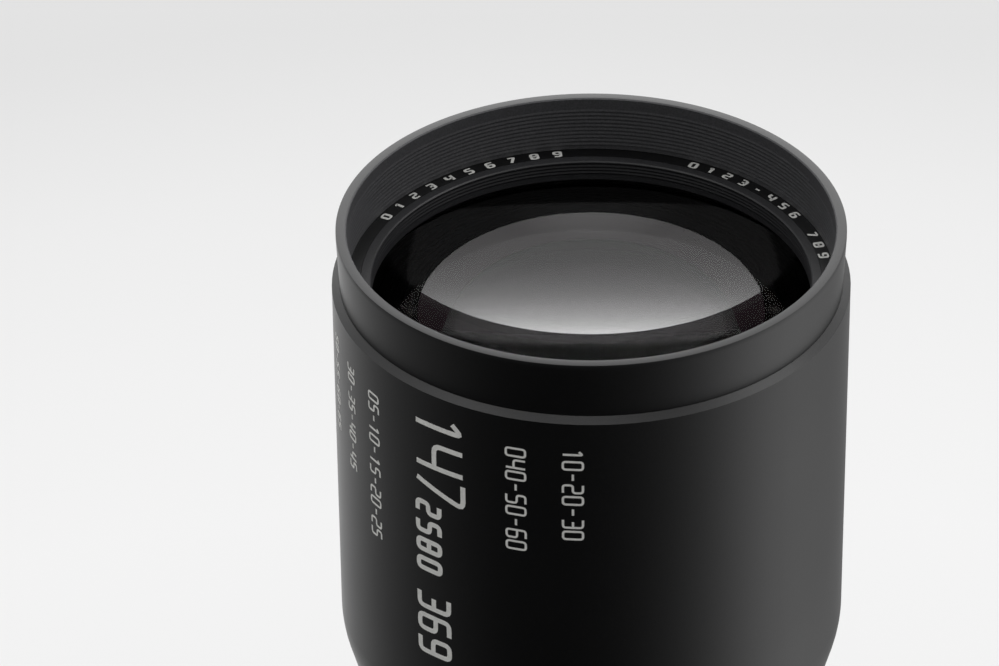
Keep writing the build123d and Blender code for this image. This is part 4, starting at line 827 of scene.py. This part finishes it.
class BuildFrontGlass(bpy.types.Operator):
    """First, second and third elements, with coated faces and blackened edges"""
    bl_idname = "lens.front_glass"
    bl_label = "Front glass"

    def execute(self, context):
        sizes = context.scene.lens_glass
        colours = context.scene.lens_finishes
        neutral = (1.0, 1.0, 1.0)
        coated = optical_glass("coated_front_glass", neutral, share=0.06)
        bare = optical_glass("polished_glass", neutral, share=1.0)
        inner = optical_glass("coated_inner_glass", colours.coating, share=0.1)
        edge = sprayed_paint("edge_black", colours.paint, roughness=0.7, grain_size=0.3 * MM)
        border = brushed_lacquer("painted_border", colours.paint, 0.3, 0.6, roughness=0.05, gloss=0.06)
        lacquer = brushed_lacquer("spacer_lacquer", colours.spacer, 0.9, 1.1, roughness=0.8, gloss=0.0)
        clear, waist = sizes.clear_radius, sizes.waist_radius
        radius, vertex = GLASS_BOX[1].x, GLASS_BOX[1].z
        back = vertex - sizes.thickness
        first = lathe("front_glass", lens_outline(
            (sizes.front_curve, radius, vertex, -1), (sizes.back_curve, radius, back, 1), clear,
        ), segments=192, sharp=25.0)
        dress(first, coated, bare, edge, border)
        foot, outer = SPACER_BOX[0].z, SPACER_BOX[1].x
        seat, rest = back + sag(sizes.back_curve, clear), back + sag(sizes.back_curve, outer)
        gap, land = 0.1 * MM, 0.4 * MM
        spacer = lathe("spacer_ring", [
            (outer, foot, 0), (outer, rest - gap, 0), (clear + gap, seat - gap, 0), (clear, seat - land, 0),
            (waist, foot + land, 0), (waist, foot, 0),
        ], segments=192)
        dress(spacer, lacquer)
        radius, rear = SECOND_BOX[1].x, SECOND_BOX[0].z
        vertex = SECOND_BOX[1].z - sizes.second_depth
        second = lathe("second_glass", lens_outline(
            (sizes.second_curve, waist, vertex, 1), (sizes.cement_curve, radius, rear, 1),
        ), segments=192, sharp=25.0)
        dress(second, inner, inner, edge)
        for piece, node, slot in (
            (first, "front_element", "coated_glass"), (spacer, "front_spacer", "matt_black_inside"),
            (second, "second_element", "coated_glass"),
        ):
            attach(piece, "barrel")
            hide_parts(node)
        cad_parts["third_element"].material_slots[0].material = inner
        return {"FINISHED"}


class PrintNameRing(bpy.types.Operator):
    """Plain numbers on the flat ring inside the thread"""
    bl_idname = "lens.name_ring"
    bl_label = "Printed ring"

    def execute(self, context):
        scales = context.scene.lens_scales
        above_cell, chamfer = 0.03 * MM, 0.1 * MM
        low, high, outer = NAME_BOX[0].z, NAME_BOX[1].z + above_cell, scales.ring_radius
        ring = lathe("number_ring", [
            (NAME_HOLE, low, 0), (outer, low, 0), (outer, high - chamfer, 0), (outer - chamfer, high, 0),
            (NAME_HOLE, high, 0),
        ])
        dress(ring, bpy.data.materials["name_ring_black"])
        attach(ring, "barrel")
        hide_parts("name_ring")
        height, stroke, stretch, margin = 1.85 * MM, 0.32 * MM, 1.7, 0.12 * MM
        letters = Lettering(scales.relief, BELL_PRINT_ROOT)
        for text, first, last in (("0123456789", -61.5, -8.5), ("0123-456 789", 26.5, 80.5)):
            for i, character in enumerate(text):
                angle = math.radians(first + (last - first) * i / (len(text) - 1))
                surface = on_the_face(NAME_HOLE + margin, angle, high, stretch)
                letters.text(character, height, stroke, 0, surface)
        # Painted shade: the numbers on the sunken ring are the white marks dimmed to 0.62, which stands in
        # for the shade down in the bore.
        painted_shade = 0.62
        shaded_marks = [painted_shade * channel for channel in context.scene.lens_finishes.marks]
        letters.finish("name_ring_numbers", filled_paint("shade_dimmed_enamel", shaded_marks), "barrel")
        return {"FINISHED"}


class PrintBell(bpy.types.Operator):
    """Plain number scales along the bell"""
    bl_idname = "lens.bell_numbers"
    bl_label = "Bell numbers"

    def execute(self, context):
        scales = context.scene.lens_scales
        small, large = scales.stroke, scales.wide_stroke
        letters = Lettering(scales.relief, BELL_PRINT_ROOT)
        for text, degrees, lift, height, stroke in (
            ("10-20-30", -7.5, 0.0, scales.small_height, small),
            ("040-50-60", -20.0, -0.8, scales.small_height, small),
            ("05-10-15-20-25", -59.0, -1.7, 3.3 * MM, small),
            ("30-35-40-45", -69.5, -0.8, 3.0 * MM, small),
            ("50-55-60-65", -80.0, 0.0, 2.6 * MM, small),
            ("147", -43.0, 1.9, scales.large_height, large),
            ("2580", -43.0, -16.9, 5.6 * MM, large),
            ("369", -43.0, -35.5, 7.2 * MM, large),
        ):
            surface = down_the_barrel(BELL_BOX[1].x, math.radians(degrees), scales.bell_start + lift * MM)
            letters.text(text, height, stroke, stroke, surface)
        white = filled_paint("white_enamel", context.scene.lens_finishes.marks)
        letters.finish("bell_numbers", white, "barrel")
        return {"FINISHED"}


class BuildGrip(bpy.types.Operator):
    """Rubber sleeve with rounded blocks"""
    bl_idname = "lens.rubber_grip"
    bl_label = "Rubber grip"

    def execute(self, context):
        sizes = context.scene.lens_grip
        rubber = moulded_rubber(context.scene.lens_finishes.rubber)
        low, high, outer = GRIP_BOX[0].z, GRIP_BOX[1].z, GRIP_BOX[1].x
        inner, chamfer, sunk = 35.45 * MM, 0.3 * MM, 0.4 * MM
        floor = outer - sizes.block_height
        sleeve = lathe("grip_sleeve", [
            (inner, low, 0), (floor - chamfer, low, 0), (floor, low + chamfer, 0),
            (floor, high - chamfer, 0), (floor - chamfer, high, 0), (inner, high, 0),
        ], segments=192)
        dress(sleeve, rubber)
        spacing = (high - low + sizes.row_gap) / sizes.rows
        width = 2 * math.pi * outer / sizes.ribs - sizes.groove
        depth, length = sizes.block_height + sunk, spacing - sizes.row_gap
        blocks = run_tree("grip_blocks", block_tree(), {
            "Radius": outer - depth / 2, "Count": sizes.ribs, "Rows": sizes.rows, "Row Spacing": spacing,
            "First Row": low + length / 2, "Turn": math.pi / sizes.ribs, "Block Size": (depth, width, length),
            "Material": rubber,
        })
        bevel = blocks.modifiers.new("rounding", "BEVEL")
        bevel.width = sizes.rounding
        bevel.segments = 3
        for piece in (sleeve, blocks):
            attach(piece, "focus_drive")
        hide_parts("focus_grip")
        return {"FINISHED"}


def print_aperture_ring(scales, white):
    """Numbers that pass the index line as the ring turns."""
    radius, foot = APERTURE_BOX[1].x, APERTURE_BOX[0].z + 1.4 * MM
    height, stroke, gap, travel = 2.6 * MM, 0.36 * MM, 0.3 * MM, 30.0
    letters = Lettering(scales.relief, RING_PRINT_ROOT)
    numbers = scales.aperture_numbers.split()
    for i, text in enumerate(numbers):
        turn = math.radians(-travel * i / (len(numbers) - 1))
        start = turn - text_width(text, height, gap) / 2 / radius
        letters.text(text, height, stroke, gap, round_the_barrel(radius, start, foot))
    letters.finish("aperture_numbers", white, "aperture_drive")


def print_index_ring(scales, white):
    """The index line and a scale of ticks on both sides of it, longer at every third tick."""
    radius, low, high = INDEX_BOX[1].x, INDEX_BOX[0].z, INDEX_BOX[1].z
    margin, tick_foot, spacing, ticks = 0.6 * MM, 8.5 * MM, 4.5, 6
    long_tick, short_tick, index_width, tick_width = 3.6 * MM, 2.4 * MM, 0.5 * MM, 0.3 * MM
    letters = Lettering(scales.relief, RING_PRINT_ROOT)
    letters.tick(high - low - 2 * margin, index_width, round_the_barrel(radius, 0.0, low + margin))
    for i in range(-ticks, ticks + 1):
        if i:
            surface = round_the_barrel(radius, math.radians(spacing * i), low + tick_foot)
            letters.tick(long_tick if i % 3 == 0 else short_tick, tick_width, surface)
    letters.finish("index_lines", white, "barrel")


def print_turn_marks(scales, white, red):
    """Marks at each quarter turn, a dot on the collar that meets them, and the dot beside the mount."""
    mark_foot, mark_length, mark_width = LOCK_BOX[0].z + 0.7 * MM, 2.6 * MM, 0.5 * MM
    collar_height, collar_dot = COLLAR_BOX[0].z + 2.4 * MM, 0.8 * MM
    mount_height, mount_dot = (MOUNT_BOX[1].z + FLANGE_FOOT) / 2, 0.85 * MM
    letters = Lettering(scales.relief, RING_PRINT_ROOT)
    for i in range(4):
        surface = round_the_barrel(LOCK_BOX[1].x, math.radians(90.0 * i), mark_foot)
        letters.tick(mark_length, mark_width, surface)
    letters.finish("turn_marks", white, "barrel")
    letters = Lettering(scales.relief, RING_PRINT_ROOT)
    letters.dot(collar_dot, round_the_barrel(-COLLAR_BOX[0].x, 0.0, collar_height))
    letters.finish("collar_mark", white, "collar")
    letters = Lettering(scales.relief, RING_PRINT_ROOT)
    letters.dot(mount_dot, round_the_barrel(MOUNT_BOX[1].x, 0.0, mount_height))
    letters.finish("mount_dot", red, "barrel")


def print_focus_ring(scales, white):
    """Distances, each with a tick at its foot."""
    radius, low = FOCUS_BOX[1].x, FOCUS_BOX[0].z
    height, stroke, gap, travel = 3.0 * MM, 0.4 * MM, 0.4 * MM, 150.0
    number_foot, tick_foot, tick_length, tick_width = 5.5 * MM, 0.8 * MM, 2.6 * MM, 0.35 * MM
    letters = Lettering(scales.relief, RING_PRINT_ROOT)
    numbers = scales.focus_numbers.split()
    for i, text in enumerate(numbers):
        turn = math.radians(travel * i / (len(numbers) - 1))
        start = turn - text_width(text, height, gap) / 2 / radius
        letters.text(text, height, stroke, gap, round_the_barrel(radius, start, low + number_foot))
        letters.tick(tick_length, tick_width, round_the_barrel(radius, turn, low + tick_foot))
    letters.finish("focus_numbers", white, "focus_drive")


class PrintRings(bpy.types.Operator):
    """Numbers, ticks and index lines of the aperture and focus rings"""
    bl_idname = "lens.ring_scales"
    bl_label = "Ring scales"

    def execute(self, context):
        scales = context.scene.lens_scales
        white = bpy.data.materials["white_enamel"]
        red = filled_paint("red_enamel", context.scene.lens_finishes.dot)
        print_aperture_ring(scales, white)
        print_index_ring(scales, white)
        print_turn_marks(scales, white, red)
        print_focus_ring(scales, white)
        return {"FINISHED"}


# What shines back from the floor into the barrel: (share of a full turn from -Y, level).
FLOOR_SHINE = (
    (0.0, 0.0), (0.13, 0.0), (0.15, 0.03), (0.28, 0.32), (0.367, 0.88), (0.414, 1.20), (0.45, 1.65),
    (0.50, 1.15), (0.55, 0.75), (0.60, 0.46), (0.636, 0.50), (0.689, 0.88), (0.73, 1.35), (0.767, 1.55),
    (0.817, 1.02), (0.859, 0.43), (0.914, 0.11), (0.967, 0.03), (1.0, 0.0),
)
# What the camera sees of the floor: (metres from the axis, level), out to FLOOR_REACH.
FLOOR_REACH = 4.0
FLOOR_LEVELS = (
    (0.0, 0.59), (0.30, 0.59), (0.39, 0.60), (0.461, 0.58), (0.539, 0.543), (0.635, 0.455), (0.75, 0.45),
    (1.0, 0.50), (1.5, 0.63), (2.5, 0.75), (4.0, 0.80),
)
# Glow on the cloth behind the lens: (share of a right angle from its middle, level).
TENT_GLOW = (
    (0.0, 1.0), (0.08, 0.93), (0.17, 0.81), (0.245, 0.66), (0.31, 0.42), (0.38, 0.24), (0.445, 0.11),
    (0.53, 0.03), (0.67, 0.0),
)
# Levels of the air round the stage: what lights matt things, what metal and glass show, what is seen.
WORLD_LIGHT = 0.3
WORLD_SHINE = 0.3
WORLD_SEEN = 0.9


def set_stops(ramp, stops):
    """Gives a colour ramp its grey stops, each a (place, level)."""
    ends = ramp.color_ramp.elements
    for i, (place, level) in enumerate(stops):
        stop = ends[i] if i < 2 else ends.new(place)
        stop.position = place
        stop.color = (level, level, level, 1.0)


def ray_kinds(tree):
    """Whether a ray comes straight from the camera, and whether metal or glass sent it."""
    path = add_node(tree, "ShaderNodeLightPath")
    shine = add_node(tree, "ShaderNodeMath", {
        0: path.outputs["Is Glossy Ray"], 1: path.outputs["Is Transmission Ray"],
    }, operation="MAXIMUM")
    return path.outputs["Is Camera Ray"], shine


def pale_floor():
    """White table top. It shows as a pale sweep that darkens a little away from the lens, and what the
    barrel mirrors of it is dark on the camera's side, as with a black card there."""
    material, tree, place = start_material("pale_floor")
    camera, shine = ray_kinds(tree)
    distance = axis_distance(tree, place)
    reach = add_node(tree, "ShaderNodeMath", {0: distance, 1: FLOOR_REACH}, operation="DIVIDE")
    seen = add_node(tree, "ShaderNodeValToRGB", {"Fac": reach})
    set_stops(seen, [(radius / FLOOR_REACH, level) for radius, level in FLOOR_LEVELS])
    shown = add_node(tree, "ShaderNodeMath", {0: seen, 1: camera}, operation="MULTIPLY")
    glow = add_node(tree, "ShaderNodeEmission", {"Strength": shown})
    matt = add_node(tree, "ShaderNodeBsdfDiffuse", {"Color": (0.25, 0.25, 0.25, 1.0)})
    table = add_node(tree, "ShaderNodeAddShader", {0: glow, 1: matt})
    flat = add_node(tree, "ShaderNodeSeparateXYZ", {0: place}).outputs
    heading = add_node(tree, "ShaderNodeMath", {0: flat["X"], 1: flat["Y"]}, operation="ARCTAN2")
    turn = add_node(tree, "ShaderNodeMapRange", {"Value": heading, "From Min": -math.pi, "From Max": math.pi})
    mirrored = add_node(tree, "ShaderNodeValToRGB", {"Fac": turn})
    set_stops(mirrored, FLOOR_SHINE)
    mirror = add_node(tree, "ShaderNodeEmission", {"Strength": mirrored})
    return end_material(material, add_node(tree, "ShaderNodeMixShader", {0: shine, 1: table, 2: mirror}))


def tent_light(stage):
    """Lit cloth of the tent: even, with a broad glow low down behind the lens. It isn't shown to the
    camera itself, nor to the paint behind the glass, where its light would arrive as grain."""
    material, tree, place = start_material("tent_light")
    glow_rise, middle = math.radians(15), (0.0, 0.0, GLASS_BOX[1].z)
    offset = add_node(tree, "ShaderNodeVectorMath", {0: place, 1: middle}, operation="SUBTRACT")
    aim = add_node(tree, "ShaderNodeVectorMath", {0: offset}, operation="NORMALIZE")
    facing = add_node(tree, "ShaderNodeVectorMath", {
        0: aim, 1: (0.0, math.cos(glow_rise), math.sin(glow_rise)),
    }, operation="DOT_PRODUCT")
    angle = add_node(tree, "ShaderNodeMath", {0: facing.outputs["Value"]}, operation="ARCCOSINE")
    share = add_node(tree, "ShaderNodeMath", {0: angle, 1: math.pi / 2}, operation="DIVIDE")
    glow = add_node(tree, "ShaderNodeValToRGB", {"Fac": share})
    set_stops(glow, TENT_GLOW)
    height = add_node(tree, "ShaderNodeSeparateXYZ", {0: aim})
    crown = add_node(tree, "ShaderNodeMapRange", {
        "Value": height.outputs["Z"], "From Min": 0.92, "From Max": 0.99,
        "To Min": stage.tent_level, "To Max": 1.6 * stage.tent_level,
    })
    strength = add_node(tree, "ShaderNodeMath", {0: glow, 1: stage.glow_level, 2: crown},
                        operation="MULTIPLY_ADD")
    light = add_node(tree, "ShaderNodeEmission", {"Strength": strength})
    clear = add_node(tree, "ShaderNodeBsdfTransparent")
    path = add_node(tree, "ShaderNodeLightPath")
    through_glass = add_node(tree, "ShaderNodeMath", {
        0: path.outputs["Is Transmission Ray"], 1: path.outputs["Diffuse Depth"],
    }, operation="MULTIPLY")
    hidden = add_node(tree, "ShaderNodeMath", {0: path.outputs["Is Camera Ray"], 1: through_glass},
                      operation="MAXIMUM")
    return end_material(material, add_node(tree, "ShaderNodeMixShader", {0: hidden, 1: light, 2: clear}))


def sheet(name, points, faces, material):
    """A flat or curved sheet of the studio."""
    mesh = bpy.data.meshes.new(name)
    mesh.from_pydata(points, [], faces)
    mesh.materials.append(material)
    return new_piece(name, mesh)


def build_floor(stage):
    half, z = stage.floor_size / 2, cad_box[0][2]
    corners = [(-half, -half, z), (half, -half, z), (half, half, z), (-half, half, z)]
    floor = sheet("floor", corners, [(0, 1, 2, 3)], pale_floor())


def build_tent(stage):
    """Curved cloth behind and above the lens, a quarter of a drum about a line through the front glass."""
    steps, lowest, span = 24, 4, 83
    base, radius, side = GLASS_BOX[1].z, stage.tent_radius, stage.tent_half_width
    rises = [math.radians(lowest + span * i / steps) for i in range(steps + 1)]
    points = [(x, radius * math.cos(a), base + radius * math.sin(a)) for a in rises for x in (-side, side)]
    faces = [(2 * i, 2 * i + 1, 2 * i + 3, 2 * i + 2) for i in range(steps)]
    tent = sheet("light_tent", points, faces, tent_light(stage))


def light_world(scene):
    """Air round the stage, pale to the camera and dimmer to everything else."""
    world = bpy.data.worlds.new("studio")
    scene.world = world
    world.use_nodes = True
    tree = world.node_tree
    tree.nodes.clear()
    camera, shine = ray_kinds(tree)
    level = add_node(tree, "ShaderNodeMix", {"Factor": shine, 2: WORLD_LIGHT, 3: WORLD_SHINE})
    shown = add_node(tree, "ShaderNodeMix", {"Factor": camera, 2: level, 3: WORLD_SEEN})
    back = add_node(tree, "ShaderNodeBackground", {"Color": (1, 1, 1, 1), "Strength": shown})
    add_node(tree, "ShaderNodeOutputWorld", {"Surface": back})


def hang_lamp(scene, name, place, size, power):
    """Square lamp aimed at the front of the lens and hidden from what glass shows."""
    lamp = bpy.data.lights.new(name, "AREA")
    lamp.shape = "SQUARE"
    lamp.size = size
    lamp.energy = power
    holder = bpy.data.objects.new(name, lamp)
    holder.location = place
    holder.rotation_mode = "QUATERNION"
    target = Vector((0, 0, 0.28))
    holder.rotation_quaternion = (target - Vector(place)).to_track_quat("-Z", "Y")
    holder.visible_transmission = False
    scene.collection.objects.link(holder)


def place_camera(scene, stage):
    camera = bpy.data.cameras.new("camera")
    camera.lens = stage.focal_length
    camera.sensor_width = 36.0
    camera.clip_start = 0.01
    viewer = bpy.data.objects.new("camera", camera)
    turn = Matrix.Rotation(math.pi / 2 - stage.elevation, 4, "X") @ Matrix.Rotation(stage.roll, 4, "Z")
    viewer.matrix_world = Matrix.Translation(Vector(stage.camera_place)) @ turn
    scene.collection.objects.link(viewer)
    scene.camera = viewer


class SetStage(bpy.types.Operator):
    """Pale floor, light cloth, lamps, world and camera"""
    bl_idname = "lens.stage"
    bl_label = "Stage and camera"

    def execute(self, context):
        scene = context.scene
        stage = scene.lens_stage
        build_floor(stage)
        build_tent(stage)
        light_world(scene)
        hang_lamp(scene, "overhead", place=(0.0, -0.33, 1.5), size=0.4, power=stage.overhead_power)
        hang_lamp(scene, "right", place=(1.05, -0.05, 1.15), size=0.6, power=stage.right_power)
        hang_lamp(scene, "left", place=(-0.75, -0.3, 1.30), size=0.6, power=stage.left_power)
        place_camera(scene, stage)
        scene.view_settings.view_transform = "Standard"
        return {"FINISHED"}


class LensPanel(bpy.types.Panel):
    """Sidebar list of the lens's pieces"""
    bl_idname = "VIEW3D_PT_lens"
    bl_label = "Telephoto Lens"
    bl_space_type = "VIEW_3D"
    bl_region_type = "UI"
    bl_category = "Lens"

    def draw(self, context):
        for operator in STEPS:
            self.layout.operator(operator.bl_idname)


GROUPS = {
    "lens_finishes": LensFinishes, "lens_glass": FrontGlass, "lens_thread": FilterThread,
    "lens_ridges": BoreRidges, "lens_scales": PrintedScales, "lens_grip": RubberGrip,
    "lens_stage": StudioStage,
}
STEPS = (
    DressBody, BuildFilterRing, BuildRidgedRing, BuildFrontGlass, PrintNameRing, PrintBell, BuildGrip,
    PrintRings, SetStage,
)


def register():
    for group in GROUPS.values():
        bpy.utils.register_class(group)
    for name, group in GROUPS.items():
        setattr(bpy.types.Scene, name, PointerProperty(type=group))
    for operator in STEPS:
        bpy.utils.register_class(operator)
    bpy.utils.register_class(LensPanel)


def unregister():
    bpy.utils.unregister_class(LensPanel)
    for operator in reversed(STEPS):
        bpy.utils.unregister_class(operator)
    for name, group in reversed(list(GROUPS.items())):
        delattr(bpy.types.Scene, name)
        bpy.utils.unregister_class(group)


def main():
    register()
    bpy.ops.lens.dress_body()
    bpy.ops.lens.filter_ring()
    bpy.ops.lens.ridged_ring()
    bpy.ops.lens.front_glass()
    bpy.ops.lens.name_ring()
    bpy.ops.lens.bell_numbers()
    bpy.ops.lens.rubber_grip()
    bpy.ops.lens.ring_scales()
    bpy.ops.lens.stage()


if __name__ == "__main__":
    main()
